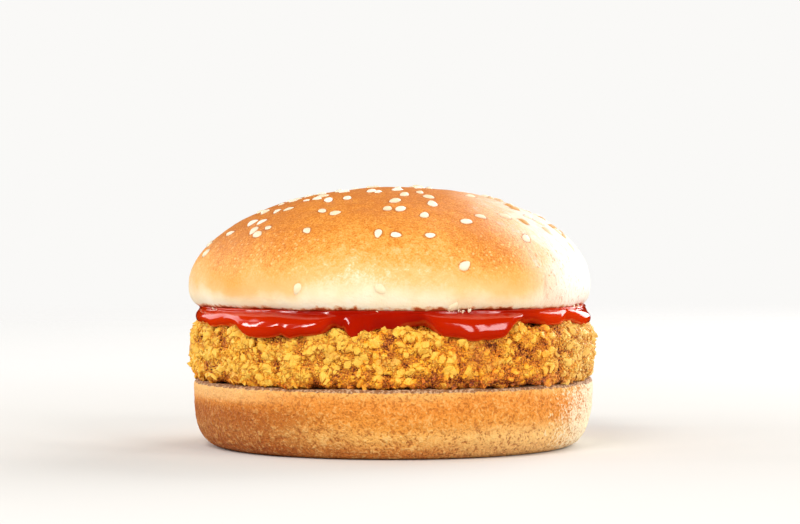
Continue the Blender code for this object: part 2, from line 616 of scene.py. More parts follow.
@dataclass(frozen=True)
class TopCrust(Finish):
    """Baked skin of the top bun: brown on top, golden on the flanks, cream at the rim."""

    axis: Vector = Vector()
    rim: float = 0.0
    crown: float = 1.0
    toasted: Patch = Patch(34, 44 * MM, 14 * MM, 4 * MM, 17 * MM)
    # A paler patch on the +X flank: partly paler crust where the bun touched its neighbours, partly painted
    # light for the glare on that side.
    pale: Patch = Patch(82, 50 * MM, 18 * MM, 12 * MM, 44 * MM)
    wrinkle_radius: float = 50 * MM
    bakes: Stops = (
        (0.00, (251, 238, 212)),
        (0.10, (250, 227, 187)),
        (0.24, (246, 193, 122)),
        (0.42, (245, 169, 76)),
        (0.56, (235, 152, 54)),
        (0.70, (225, 136, 40)),
        (0.88, (213, 124, 36)),
        (1.10, (206, 118, 38)),
    )
    # Peach under the pale patch: partly paler crust, partly painted glare.
    blush_and_glare: Colour = (244, 196, 156)
    streak: Colour = (232, 164, 120)
    brown_speck: Colour = (200, 98, 22)
    gold_speck: Colour = (252, 194, 112)
    freckle: Colour = (252, 220, 150)
    # Near white: partly flour, partly painted glare.
    flour_and_glare_white: Colour = (250, 237, 224)
    # Painted light: near white for the glare on the +X flank.
    painted_glare: Colour = (252, 243, 228)
    fleck: Colour = (214, 138, 84)
    # Painted shadow round each seed.
    seed_shadow: Colour = (164, 80, 26)
    toasted_rim: Colour = (226, 156, 96)
    stained_rim: Colour = (186, 78, 28)

    def pattern(self, graph: Graph, place: Wire) -> dict[str, Wire]:
        """Shades the crust by height, clouds, a toasted and a pale patch, mottling and speckle.

        Args:
            graph: the material's nodes.
            place: where on the piece, in metres.

        Returns:
            The shader's varying inputs by name.
        """
        x, _, z = graph.split(place)
        rise = z - self.rim
        height = rise / (self.crown - self.rim)
        clouds = graph.grain(place, 20 * MM, 2) - 0.5
        patches = graph.grain(place, 7 * MM, 3) - 0.5
        tan = graph.grain(place, 3.2 * MM, 3, 0.6) - 0.5
        mottle = graph.grain(place, 1.3 * MM, 3, 0.8) - 0.5
        speckle = graph.grain(place, 0.42 * MM, 2) - 0.5
        foot = self.axis + Vector((0, 0, self.rim))
        outline = 5 * MM * (graph.grain(place, 6 * MM, 3) - 0.5)
        toasted = self.toasted.on(graph, place, foot, outline)
        # The pale patch is partly painted light: it lightens the bake and lays on the blush and the white of
        # flour and glare.
        pale = self.pale.on(graph, place, foot, outline)
        streaks = (self.wrinkles(graph, place, 1.9 * MM, 5 * MM) - 0.5) * pale.ease(0.02, 0.30)
        # Painted light and shade: deeper orange towards the left, and paler again at the far-left edge, as
        # the light falls there.
        flank = 0.17 * x.ease(-12 * MM, -42 * MM) - 0.16 * x.ease(-42 * MM, -50 * MM)
        bake = height + 0.34 * clouds + 0.26 * patches + 0.20 * toasted - 0.40 * pale
        bake = bake + flank * height.ease(0.0, 0.20)
        bake = bake + (0.40 * tan + 0.56 * mottle + 0.64 * speckle) * height.ease(0.10, 0.50)
        freckles = graph.cells(place, 1.4 * MM).ease(0.30, 0.14) * height.ease(0.20, 0.34)
        freckles = freckles * height.ease(0.70, 0.50) * clouds.ease(-0.06, 0.04)
        # Partly flour, partly painted glare: near white where the pale patch, the light clouds and the
        # mottling add up.
        flour_and_glare = (pale + 0.8 * streaks + patches + 0.9 * mottle).ease(0.30, 1.0)
        flecks = self.wrinkles(graph, place, 0.8 * MM, 1.8 * MM).ease(0.58, 0.68) * pale.ease(0.10, 0.40)
        # Painted shadow: the crust darkens in a ring round each seed, where the seed shades it.
        ring = graph.stored("gap").ease(0.50 * MM, 0.20 * MM)
        ragged = 2.2 * MM * (graph.grain(place, 1.8 * MM, 3) - 0.5)
        ragged = rise + ragged + 2.0 * MM * (graph.grain(place, 9 * MM, 2) - 0.5)
        colour = graph.coats(
            graph.ramp(bake, self.bakes),
            (0.65 * pale.ease(0.02, 0.40), self.blush_and_glare),
            (0.70 * streaks.ease(0.02, 0.20), self.streak),
            (0.55 * speckle.ease(0.03, 0.16) * bake.ease(0.40, 0.72), self.brown_speck),
            (0.30 * speckle.ease(-0.04, -0.15) * bake.ease(0.30, 0.50), self.gold_speck),
            (0.50 * freckles, self.freckle),
            (0.62 * flour_and_glare, self.flour_and_glare_white),
            # Painted light: near white low on the +X flank, for the glare there.
            (0.78 * x.ease(34 * MM, 47 * MM) * height.ease(0.5, 0.2), self.painted_glare),
            (0.70 * flecks * height.ease(0.66, 0.44), self.fleck),
            (ring * (0.06 + 0.40 * bake.ease(0.15, 0.55) + 0.22 * pale), self.seed_shadow),
            (0.8 * ragged.ease(0.70 * MM, 0.20 * MM), self.toasted_rim),
            (ragged.ease(0.25 * MM, 0.05 * MM), self.stained_rim),
        )
        fine = graph.grain(place, 0.45 * MM, 3, 0.6) + graph.grain(place, 1.5 * MM, 2) + 2.0 * streaks
        return {
            "Base Color": colour,
            "Roughness": 0.55 + 0.3 * speckle,
            "Normal": self.bumps(graph, fine, 0.13 * MM),
        }

    def wrinkles(self, graph: Graph, place: Wire, width: float, length: float) -> Wire:
        """Makes fine wrinkles that run up and down the dome.

        Args:
            graph: the material's nodes.
            place: where on the piece.
            width: how wide a wrinkle is on the flank.
            length: how long it is, up the dome.

        Returns:
            The wrinkles, from 0 to 1.
        """
        x, y, z = graph.split(place - tuple(self.axis))
        turn = graph.maths("ARCTAN2", x, 0 - y)
        sockets = {"X": turn * (self.wrinkle_radius / width), "Y": z / length, "Z": 0.0}
        return graph.grain(graph.node("ShaderNodeCombineXYZ", sockets=sockets)["Vector"], 1.0, 3, 1.6)


@dataclass(frozen=True)
class BottomCrust(Finish):
    """Baked skin of the bottom bun: leathery and mottled, darker at its foot, pale at its cut edge."""

    axis: Vector = Vector()
    cut: float = 1.0
    # A darker patch on the left, low down: partly browner crust, partly painted shade.
    dark: Patch = Patch(-62, 46 * MM, 5 * MM, 14 * MM, 46 * MM)
    bakes: Stops = (
        (0.00, (220, 132, 50)),
        (0.10, (218, 134, 56)),
        (0.22, (236, 166, 82)),
        (0.36, (246, 182, 94)),
        (0.50, (236, 154, 60)),
        (0.74, (234, 144, 52)),
        (0.86, (238, 150, 60)),
        (0.96, (246, 178, 94)),
    )
    # Painted light towards +X.
    painted_light_side: Colour = (253, 208, 136)
    dark_side_and_shade: Colour = (170, 82, 22)
    hollow: Colour = (164, 80, 24)
    ridge: Colour = (253, 204, 126)
    light_edge: Colour = (253, 198, 126)
    flour_and_glare_white: Colour = (252, 236, 202)
    # Both darkened as painted shade under the patty.
    torn_shaded_dark: Colour = (152, 104, 68)
    torn_shaded_light: Colour = (208, 168, 130)

    def pattern(self, graph: Graph, place: Wire) -> dict[str, Wire]:
        """Shades the crust by height, a darker side, painted light towards +X, leathery mottling and specks.

        Args:
            graph: the material's nodes.
            place: where on the piece, in metres.

        Returns:
            The shader's varying inputs by name.
        """
        x, _, rise = graph.split(place)
        height = rise / self.cut
        clouds = graph.grain(place, 16 * MM, 2) - 0.5
        leather = graph.grain(place, 2.6 * MM, 4, 1.4) - 0.5
        mottle = graph.grain(place, 1.15 * MM, 3, 1.2) - 0.5
        speckle = graph.grain(place, 0.52 * MM, 2) - 0.5
        grit = mottle + 0.65 * speckle + 0.50 * leather
        dark = self.dark.on(graph, place, self.axis, 26 * MM * clouds)
        low = height.ease(0.52, 0.34)
        ridges = grit.ease(0.02, 0.22) * (0.45 + 0.25 * low) * (1.0 - 0.45 * dark)
        # Partly flour, partly painted glare: the +X edge of the bottom bun turns near white.
        flour_and_glare = (x + 24 * MM * grit + 3 * MM * height.ease(0.85, 0.35)).ease(42 * MM, 50 * MM)
        # The torn cut edge: crumb mottling, darkened as painted shade under the patty.
        torn = graph.mix(graph.grain(place, 0.7 * MM, 2).ease(0.45, 0.62), self.torn_shaded_dark, self.torn_shaded_light)
        edge = rise + 1.1 * MM * (graph.grain(place, 1.5 * MM, 3) - 0.5)
        colour = graph.coats(
            graph.ramp(height + 0.30 * clouds + 0.12 * leather, self.bakes),
            # Painted light: lighter towards +X, most of all low down.
            (0.70 * x.ease(0.0, 42 * MM) * height.ease(0.60, 0.26), self.painted_light_side),
            # Partly browner crust, partly painted shade on the left.
            (0.78 * dark * height.ease(0.84, 0.60), self.dark_side_and_shade),
            (grit.ease(-0.02, -0.20) * (0.50 + 0.20 * low), self.hollow),
            (ridges, self.ridge),
            (0.7 * x.ease(-16 * MM, -44 * MM) * height.ease(0.72, 0.86), self.light_edge),
            (0.90 * flour_and_glare, self.flour_and_glare_white),
            (edge.ease(self.cut - 0.72 * MM, self.cut - 0.42 * MM), torn),
        )
        return {
            "Base Color": colour,
            "Roughness": 0.60 + 0.3 * speckle,
            "Normal": self.bumps(graph, leather + 0.7 * mottle + 0.6 * speckle, 0.65 * MM),
        }


@dataclass(frozen=True)
class Breading(Finish):
    """Fried breadcrumbs: bright gold with orange patches, painted paler at the +X end, and each crumb of its
    own tone.
    """

    shift: float = 0.0
    foot: float = 0.0
    bakes: Stops = (
        (0.00, (138, 56, 12)),
        (0.18, (212, 104, 24)),
        (0.37, (246, 142, 36)),
        (0.55, (251, 163, 30)),
        (0.74, (255, 180, 38)),
        (0.95, (255, 200, 74)),
    )
    # Painted shade: dark brown in the relief's pits and at the crumbs' roots.
    pit_shade: Colour = (104, 40, 8)
    root: Colour = (116, 45, 8)
    meat: Colour = (206, 128, 60)
    # Painted light: the +X end of the patty paler, for the light on that side.
    cream: Colour = (251, 208, 138)

    def pattern(self, graph: Graph, place: Wire) -> dict[str, Wire]:
        """Shades the crumbs by each one's tone, patches and fine noise, darker towards the foot.

        Args:
            graph: the material's nodes.
            place: where on the piece, in metres.

        Returns:
            The shader's varying inputs by name.
        """
        tone = graph.stored("tone") - 0.5
        hill = graph.stored("relief") - 0.5
        lift = graph.stored("lift")
        x, _, z = graph.split(place)
        fine = graph.grain(place, 0.38 * MM, 3) - 0.5
        patch = graph.grain(place, 2.4 * MM, 3, 0.5) - 0.5
        broad = graph.grain(place, 10 * MM, 2) - 0.5
        # Darker towards the patty's foot.
        near_foot = z.ease(self.foot + 3.6 * MM, self.foot + 0.4 * MM)
        # Painted light and shade: crumbs are lighter on the relief's hills and where they stand high off the
        # surface.
        bake = 0.67 + 1.9 * hill + 0.30 * tone + 0.85 * patch + 0.60 * broad + 1.15 * fine
        bake = bake + 0.36 * lift.ease(0.10 * MM, 0.90 * MM) - 0.48 * near_foot
        # The crumbs get darker to the right, most of all just past the middle, and the right end is paler.
        # This is partly the crumbs' own tone and partly painted light.
        tone_and_light_aside = 0.10 * x.ease(20 * MM, 32 * MM) - 0.14 * x.ease(2 * MM, 18 * MM)
        tone_and_light_aside = tone_and_light_aside + 0.90 * x.ease(36 * MM, 50 * MM) - 4.2 * x
        # The painted shade of pits and roots is weaker towards the left.
        less_shade_left = 1.0 - 0.5 * x.ease(0.0, -38 * MM)
        # Painted shade: crumbs darken where they meet the surface under them, more in the relief's hollows.
        root_shade_mask = (lift + 0.6 * MM * fine).ease(0.17 * MM, 0.02 * MM) * (0.66 + 0.30 * hill.ease(0.06, -0.14))
        colour = graph.coats(
            graph.ramp(bake + tone_and_light_aside + self.shift, self.bakes),
            # Painted shade in the relief's pits.
            (0.62 * less_shade_left * (hill + 0.8 * fine).ease(-0.11, -0.21), self.pit_shade),
            (less_shade_left * root_shade_mask, self.root),
            (0.42 * graph.grain(place, 7 * MM, 3, 0.4).ease(0.56, 0.70), self.meat),
            # Painted light at the +X end.
            (0.36 * x.ease(34 * MM, 48 * MM), self.cream),
        )
        crackle = graph.grain(place, 0.3 * MM, 3) + graph.grain(place, 0.8 * MM, 2)
        return {
            "Base Color": colour,
            "Roughness": 0.40 + 0.3 * fine,
            "Normal": self.bumps(graph, crackle, 0.25 * MM),
        }


@dataclass(frozen=True)
class Crevices(Finish):
    """The coating between the crumbs: a fine dust, orange-gold on its lumps and dark brown in its hollows."""

    # Painted light and shade: near black-brown low in the relief, orange-gold on its lumps.
    bakes: Stops = (
        (0.18, (60, 20, 4)),
        (0.32, (166, 78, 16)),
        (0.46, (232, 140, 38)),
        (0.72, (250, 180, 58)),
    )

    def pattern(self, graph: Graph, place: Wire) -> dict[str, Wire]:
        """Shades the coating by the relief's own height and its dust.

        Args:
            graph: the material's nodes.
            place: where on the piece, in metres.

        Returns:
            The shader's varying inputs by name.
        """
        fine = graph.grain(place, 0.6 * MM, 3) - 0.5
        dust = 0.5 - graph.cells(place, 0.55 * MM)
        return {
            # Painted shade: the lower the relief, the darker the coating.
            "Base Color": graph.ramp(graph.stored("relief") + 0.6 * fine + 0.4 * dust, self.bakes),
            "Roughness": 0.5 + 0.3 * fine,
            "Normal": self.bumps(graph, dust + fine, 0.4 * MM),
        }


@dataclass(frozen=True)
class Sauce(Finish):
    """Ketchup: deep red, wet, with the finest grain."""

    # Painted shade and light: deep for the recess under the bun, thick for the bulge's lit front, bright
    # partly for light at the sides.
    deep: Colour = (156, 15, 0)
    thick: Colour = (183, 31, 0)
    bright: Colour = (226, 58, 4)

    def pattern(self, graph: Graph, place: Wire) -> dict[str, Wire]:
        """Shades the sauce lighter where it bulges out and towards both sides, and darker in the recess.

        Args:
            graph: the material's nodes.
            place: where on the piece, in metres.

        Returns:
            The shader's varying inputs by name.
        """
        x, y, _ = graph.split(place)
        plump = (x * x + y * y) ** 0.5 + 1.6 * MM * (graph.grain(place, 5 * MM, 2) - 0.5)
        tone_and_light_aside = x.ease(-22 * MM, -46 * MM) + x.ease(26 * MM, 44 * MM)
        # Painted light and shade: the bulge's front lighter, the recess under the bun darker.
        colour = graph.mix(plump.ease(48.4 * MM, 50.8 * MM), self.deep, self.thick)
        # Partly tone, partly painted light: lighter and oranger towards both sides.
        colour = graph.mix(0.62 * tone_and_light_aside, colour, self.bright)
        return {
            "Base Color": colour,
            "Roughness": 0.10 + 0.10 * (graph.grain(place, 2.5 * MM, 2) - 0.5),
            "Normal": self.bumps(graph, graph.grain(place, 0.9 * MM, 3), 0.006 * MM),
        }


@dataclass(frozen=True)
class Hull(Finish):
    """Sesame seed: ivory, browned towards +X by toast and painted shade, and as pale as the dough at the
    bun's rim.
    """

    rim: float = 0.0
    ivory: Colour = (240, 220, 184)
    bright: Colour = (250, 242, 222)
    # Partly toast, partly painted shade of the seeds' undersides.
    toast_and_shade: Colour = (212, 144, 50)
    dough: Colour = (246, 222, 178)

    def pattern(self, graph: Graph, place: Wire) -> dict[str, Wire]:
        """Shades each seed by its own tone.

        Args:
            graph: the material's nodes.
            place: where on the piece, in metres.

        Returns:
            The shader's varying inputs by name.
        """
        tone = graph.stored("tone")
        fine = graph.grain(place, 0.6 * MM, 2)
        x, _, z = graph.split(place)
        # Painted shade and toast: seeds towards +X are browned, standing also for their shaded undersides.
        toasted = (x + 8 * MM * (tone - 0.5)).ease(22 * MM, 30 * MM) * tone.ease(0.40, 0.62)
        colour = graph.coats(
            self.ivory,
            ((tone + 0.6 * (fine - 0.5)).ease(0.0, 1.0), self.bright),
            (0.88 * toasted, self.toast_and_shade),
            (0.8 * z.ease(self.rim + 11 * MM, self.rim + 8 * MM), self.dough),
        )
        return {"Base Color": colour, "Normal": self.bumps(graph, fine, 0.05 * MM)}


@dataclass(frozen=True)
class TornBread(Finish):
    """White bread crumb, torn at the cut edge and a little stained with ketchup."""

    crumb: Colour = (240, 222, 192)
    stain: Colour = (206, 104, 70)

    def pattern(self, graph: Graph, place: Wire) -> dict[str, Wire]:
        """Shades the crumb from white to a pinkish stain.

        Args:
            graph: the material's nodes.
            place: where on the piece, in metres.

        Returns:
            The shader's varying inputs by name.
        """
        stained = graph.grain(place, 1.2 * MM, 3).ease(0.52, 0.70)
        return {
            "Base Color": graph.mix(stained, self.crumb, self.stain),
            "Normal": self.bumps(graph, graph.grain(place, 0.4 * MM, 3), 0.15 * MM),
        }


@dataclass(frozen=True)
class StudioFloor(Finish):
    """Pale floor that fades out into the backdrop away from the burger."""

    near: float = 0.25
    far: float = 1.1
    under: Colour = (218, 215, 210)
    around: Colour = (224, 222, 219)

    def pattern(self, graph: Graph, place: Wire) -> dict[str, Wire]:
        """Fades the floor with its distance from the burger.

        Args:
            graph: the material's nodes.
            place: where on the piece, in metres.

        Returns:
            The shader's varying inputs by name.
        """
        away = graph.maths("LENGTH", place)
        floor = graph.mix(away.ease(0.1, 0.4), self.under, self.around)
        return {"Base Color": floor, "Alpha": away.ease(self.far, self.near)}


# ---------------------------------------------------------------- mesh makers


def finished(name: str, mesh: bpy.types.Mesh, finish: Finish) -> bpy.types.Object:
    """Puts a mesh on an object, smooth, with its finish.

    Args:
        name: the object's name.
        mesh: its mesh.
        finish: its finish.

    Returns:
        The object.
    """
    mesh.materials.append(finish.material())
    mesh.shade_smooth()
    return linked(name, mesh)


def mount(piece: bpy.types.Object, node: str | None = None) -> None:
    """Fixes a piece to the burger and reports it.

    Args:
        piece: the piece.
        node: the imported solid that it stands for, if it does.
    """
    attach(piece, BODY)
    if node:
        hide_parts(node)
    piece.data.calc_loop_triangles()
    log.info("%s: %d triangles", piece.name, len(piece.data.loop_triangles))


def ring_mesh(name: str, section: Callable[[float], Section], steps: int, axis: Vector) -> bpy.types.Mesh:
    """Lofts a section round the burger and closes it with a flat disc at each end.

    Args:
        name: the mesh's name.
        section: gives the radii and heights at a bearing, from the upper disc's edge to the lower one's.
        steps: how many bearings it is taken at.
        axis: the burger's axis.

    Returns:
        The closed mesh.
    """
    rows = []
    for step in range(steps):
        bearing = 2 * math.pi * step / steps
        rows.append([placed(bearing, radius, height, axis) for radius, height in section(bearing)])
    count = len(rows[0])
    faces = []
    for step in range(steps):
        here, there = step * count, (step + 1) % steps * count
        faces += [(here + i, here + i + 1, there + i + 1, there + i) for i in range(count - 1)]
    faces.append([step * count for step in range(steps)])
    faces.append([step * count + count - 1 for step in reversed(range(steps))])
    mesh = bpy.data.meshes.new(name)
    mesh.from_pydata([point for row in rows for point in row], [], faces)
    return mesh


def dome_mesh(name: str, surface: Callable[[float, float], Vector], steps: int) -> bpy.types.Mesh:
    """Wraps a square grid over a dome, without a pole, and closes it underneath.

    Args:
        name: the mesh's name.
        surface: gives the point at a bearing and a share of the way from the crown to the underside.
        steps: how many cells the grid has along a side.

    Returns:
        The closed mesh.
    """
    points = []
    for row in range(steps + 1):
        for column in range(steps + 1):
            across, along = 2 * column / steps - 1, 2 * row / steps - 1
            share = max(abs(across), abs(along))
            # A square ring of the grid becomes a round one, its corners at the odd eighths of a turn.
            if abs(across) >= abs(along):
                turn = math.pi / 4 * along / (across or 1.0) + (math.pi if across < 0 else 0.0)
            else:
                turn = math.pi / 2 - math.pi / 4 * across / along + (math.pi if along < 0 else 0.0)
            points.append(surface(turn, share))
    width = steps + 1
    faces = []
    for row in range(steps):
        for column in range(steps):
            low = row * width + column
            faces.append((low, low + 1, low + width + 1, low + width))
    edge = list(range(steps))
    edge += [row * width + steps for row in range(steps)]
    edge += [steps * width + column for column in range(steps, 0, -1)]
    edge += [row * width for row in range(steps, 0, -1)]
    faces.append(list(reversed(edge)))
    mesh = bpy.data.meshes.new(name)
    mesh.from_pydata(points, [], faces)
    return mesh


RELIEF_FADE = 1.5 * MM
WRINKLE_TWIST = 1.8
LUMP_SMOOTHNESS = 0.25


class Pattern(Enum):
    """Kinds of relief."""

    CLOUDS = "clouds"
    WRINKLES = "wrinkles"
    LUMPS = "lumps"


@dataclass(frozen=True)
class Relief:
    """One layer of relief: its pattern, how wide its features are and how deep it is."""

    pattern: Pattern
    size: float
    depth: float


def emboss(piece: bpy.types.Object, *layers: Relief, floor: float | None = None) -> None:
    """Raises and lowers a piece's surface, and stores the relief on it from 0 to 1.

    Args:
        piece: the piece.
        layers: the relief's layers.
        floor: a height that nothing is pushed below, and under which the relief fades out.
    """
    tree = ShapeTree(piece.name + "_relief")
    place = tree.node("GeometryNodeInputPosition")["Position"]
    normal = tree.node("GeometryNodeInputNormal")["Normal"]
    total: Wire | float = 0.0
    span = sum(layer.depth for layer in layers)
    for number, layer in enumerate(layers):
        size = tree.given(f"width {number}", "Float", layer.size)
        depth = tree.given(f"depth {number}", "Float", layer.depth)
        spot = place / size
        if layer.pattern is Pattern.LUMPS:
            sockets = {"Vector": spot, "Scale": 1.0, "Smoothness": LUMP_SMOOTHNESS}
            away = tree.node("ShaderNodeTexVoronoi", {"feature": "SMOOTH_F1"}, sockets)["Distance"]
            height = 0.5 - away
        else:
            twist = WRINKLE_TWIST if layer.pattern is Pattern.WRINKLES else 0.0
            sockets = {"Vector": spot, "Scale": 1.0, "Detail": 2.0, "Distortion": twist}
            height = tree.node("ShaderNodeTexNoise", {}, sockets)["Fac"] - 0.5
        total = height * depth + total
    share = total / span + 0.5
    if floor is not None:
        rise = tree.split(place)[2] - floor
        total = total * rise.ease(0.0, RELIEF_FADE)
    moved = tree.node("GeometryNodeSetPosition", {}, {"Geometry": tree.geometry(), "Offset": normal * total})
    tree.run(piece, tree.store(moved["Geometry"], "relief", share), piece.data.materials[0])


# ---------------------------------------------------------------- scattering


GOLDEN_ANGLE = math.pi * (3 - math.sqrt(5))


class Source(Enum):
    """Where scattered things are put."""

    POINTS = "points"
    FACES = "faces"


@dataclass(frozen=True)
class Nugget:
    """A kind of small angular lump: the hull of a few points round an egg."""

    corners: int
    chip: float
    squash: tuple[float, float, float]
    jitter: float = 0.4

    def mesh(self, name: str, seed: int) -> bpy.types.Mesh:
        """Makes one lump of about unit radius.

        Args:
            name: the mesh's name.
            seed: picks one lump out of many.

        Returns:
            The closed mesh.
        """
        chance = random.Random(seed)
        lump = bmesh.new()
        turn = chance.uniform(0, 2 * math.pi)
        for number in range(self.corners):
            height = 1 - 2 * (number + 0.5) / self.corners
            # Steps of the golden angle keep the points apart; their reach is what makes the lump angular.
            turn += GOLDEN_ANGLE + chance.uniform(-self.jitter, self.jitter)
            width = math.sqrt(1 - height * height)
            reach = chance.uniform(self.chip, 1.0)
            point = Vector((width * math.cos(turn), width * math.sin(turn), height)) * reach
            lump.verts.new(Vector(part * scale for part, scale in zip(point, self.squash)))
        hull = bmesh.ops.convex_hull(lump, input=lump.verts)
        inside = [item for item in hull["geom_interior"] if isinstance(item, bmesh.types.BMVert)]
        bmesh.ops.delete(lump, geom=inside, context="VERTS")
        bmesh.ops.recalc_face_normals(lump, faces=lump.faces)
        return as_mesh(name, lump)


@dataclass(frozen=True)
class Scatter:
    """A way of scattering many copies of a few shapes over a surface."""

    name: str
    source: Source
    size: tuple[float, float]
    sink: float = 0.0
    spacing: float = 1.0 * MM
    density: float = 0.0
    tilt: float = 0.5
    wear: float = 0.0
    wear_size: float = 1.0 * MM
    measured: bool = False
    seed: int = 1

    def spread(
        self, surface: bpy.types.Mesh, shapes: list[bpy.types.Mesh], finish: Finish
    ) -> bpy.types.Object:
        """Scatters the shapes and keeps them as one plain mesh.

        Args:
            surface: the points or faces to scatter on. Its attribute "cover" is how much of the density a
                place gets, and on points "facing" is the way up and "turn" the spin about it.
            shapes: the shapes, each of about unit radius.
            finish: the finish of the scattered things.

        Returns:
            The scattered things, each with its own "tone" from 0 to 1.
        """
        piece = linked(self.name, surface)
        tray = bpy.data.collections.new(self.name + "_shapes")
        bpy.context.scene.collection.children.link(tray)
        for mesh in shapes:
            tray.objects.link(bpy.data.objects.new(mesh.name, mesh))
        tree = ShapeTree(self.name)
        seed = tree.given("seed", "Int", self.seed)
        points, facing, turn = self._points(tree, seed)
        sockets = {"Min": (-self.tilt,) * 3, "Max": (self.tilt,) * 3, "Seed": seed + 3}
        lean = tree.node("FunctionNodeRandomValue", {"data_type": "FLOAT_VECTOR"}, sockets)["Value"]
        sockets = {"Vector": facing + lean}
        upright = tree.node("FunctionNodeAlignRotationToVector", {"axis": "Z"}, sockets)["Rotation"]
        sockets = {"Axis": (0, 0, 1), "Angle": turn}
        spin = tree.node("FunctionNodeAxisAngleToRotation", {}, sockets)["Rotation"]
        sockets = {"Rotation": upright, "Rotate By": spin}
        rotation = tree.node("FunctionNodeRotateRotation", {"rotation_space": "LOCAL"}, sockets)["Rotation"]
        smallest = tree.given("smallest", "Float", self.size[0])
        largest = tree.given("largest", "Float", self.size[1])
        chance = self._chance(tree, seed + 5)
        size = smallest + (largest - smallest) * chance * chance
        held = tree.given("shapes", "Collection", tray)
        sockets = {"Collection": held, "Separate Children": True, "Reset Children": True}
        shape = tree.node("GeometryNodeCollectionInfo", {}, sockets)["Instances"]
        sockets = {"Geometry": points, "Offset": facing * tree.given("sink", "Float", -self.sink)}
        sunk = tree.node("GeometryNodeSetPosition", {}, sockets)["Geometry"]
        sockets = {"Points": sunk, "Instance": shape, "Pick Instance": True, "Rotation": rotation}
        sockets["Scale"] = size
        laid = tree.node("GeometryNodeInstanceOnPoints", {}, sockets)["Instances"]
        toned = tree.store(laid, "tone", self._chance(tree, seed + 7), "INSTANCE")
        real = tree.node("GeometryNodeRealizeInstances", {}, {"Geometry": toned})["Geometry"]
        if self.wear:
            place = tree.node("GeometryNodeInputPosition")["Position"]
            sockets = {"Vector": place / tree.given("wear size", "Float", self.wear_size), "Scale": 1.0}
            push = tree.node("ShaderNodeTexNoise", {}, sockets)["Color"] - 0.5
            push = push * tree.given("wear", "Float", self.wear)
            real = tree.node("GeometryNodeSetPosition", {}, {"Geometry": real, "Offset": push})["Geometry"]
        if self.measured:
            real = self._measure(tree, real)
        tree.run(piece, real, finish.material())
        for original in list(tray.objects):
            bpy.data.objects.remove(original)
        bpy.data.collections.remove(tray)
        piece.data.shade_smooth()
        return piece

    def _points(self, tree: ShapeTree, seed: Wire) -> tuple[Wire, Wire, Wire]:
        """Gives the points to scatter on, their way up and their spin.

        Args:
            tree: the tree to write in.
            seed: the seed of what is random.

        Returns:
            The points, the way up at each, and its spin.
        """
        if self.source is Source.POINTS:
            facing = self._stored(tree, "facing", "FLOAT_VECTOR")
            return tree.geometry(), facing, self._stored(tree, "turn", "FLOAT")
        sockets = {
            "Mesh": tree.geometry(),
            "Distance Min": tree.given("spacing", "Float", self.spacing),
            "Density Max": tree.given("density", "Float", self.density),
            "Density Factor": self._stored(tree, "cover", "FLOAT"),
            "Seed": seed,
        }
        settings = {"distribute_method": "POISSON"}
        dealt = tree.node("GeometryNodeDistributePointsOnFaces", settings, sockets)
        turn = self._chance(tree, seed + 11) * (2 * math.pi)
        return dealt["Points"], dealt["Normal"], turn

    @staticmethod
    def _measure(tree: ShapeTree, scattered: Wire) -> Wire:
        """Stores on the scattered things how high each point stands over the surface, as "lift".

        Args:
            tree: the tree to write in.
            scattered: the scattered things.

        Returns:
            The things with their lift.
        """
        place = tree.node("GeometryNodeInputPosition")["Position"]
        nearest, facing = (
            tree.node(
                "GeometryNodeSampleNearestSurface",
                {"data_type": "FLOAT_VECTOR"},
                {"Mesh": tree.geometry(), "Value": value},
            )["Value"]
            for value in (place, tree.node("GeometryNodeInputNormal")["Normal"])
        )
        return tree.store(scattered, "lift", tree.maths("DOT_PRODUCT", place - nearest, facing))

    @staticmethod
    def _stored(tree: ShapeTree, name: str, kind: str) -> Wire:
        """Reads an attribute of the surface."""
        return tree.node("GeometryNodeInputNamedAttribute", {"data_type": kind}, {"Name": name})["Attribute"]

    @staticmethod
    def _chance(tree: ShapeTree, seed: Wire) -> Wire:
        """Gives each point its own random number from 0 to 1."""
        sockets = {"Min": 0.0, "Max": 1.0, "Seed": seed}
        return tree.node("FunctionNodeRandomValue", {"data_type": "FLOAT"}, sockets)["Value"]


def point_cloud(name: str, spots: Spots) -> bpy.types.Mesh:
    """Makes bare points to scatter on.

    Args:
        name: the mesh's name.
        spots: each point's place, way up and spin.

    Returns:
        A mesh without faces, with the attributes that Scatter reads.
    """
    mesh = bpy.data.meshes.new(name)
    mesh.from_pydata([place for place, _, _ in spots], [], [])
    facing = mesh.attributes.new("facing", "FLOAT_VECTOR", "POINT")
    facing.data.foreach_set("vector", [part for _, up, _ in spots for part in up])
    turn = mesh.attributes.new("turn", "FLOAT", "POINT")
    turn.data.foreach_set("value", [spin for _, _, spin in spots])
    return mesh


# ---------------------------------------------------------------- the burger


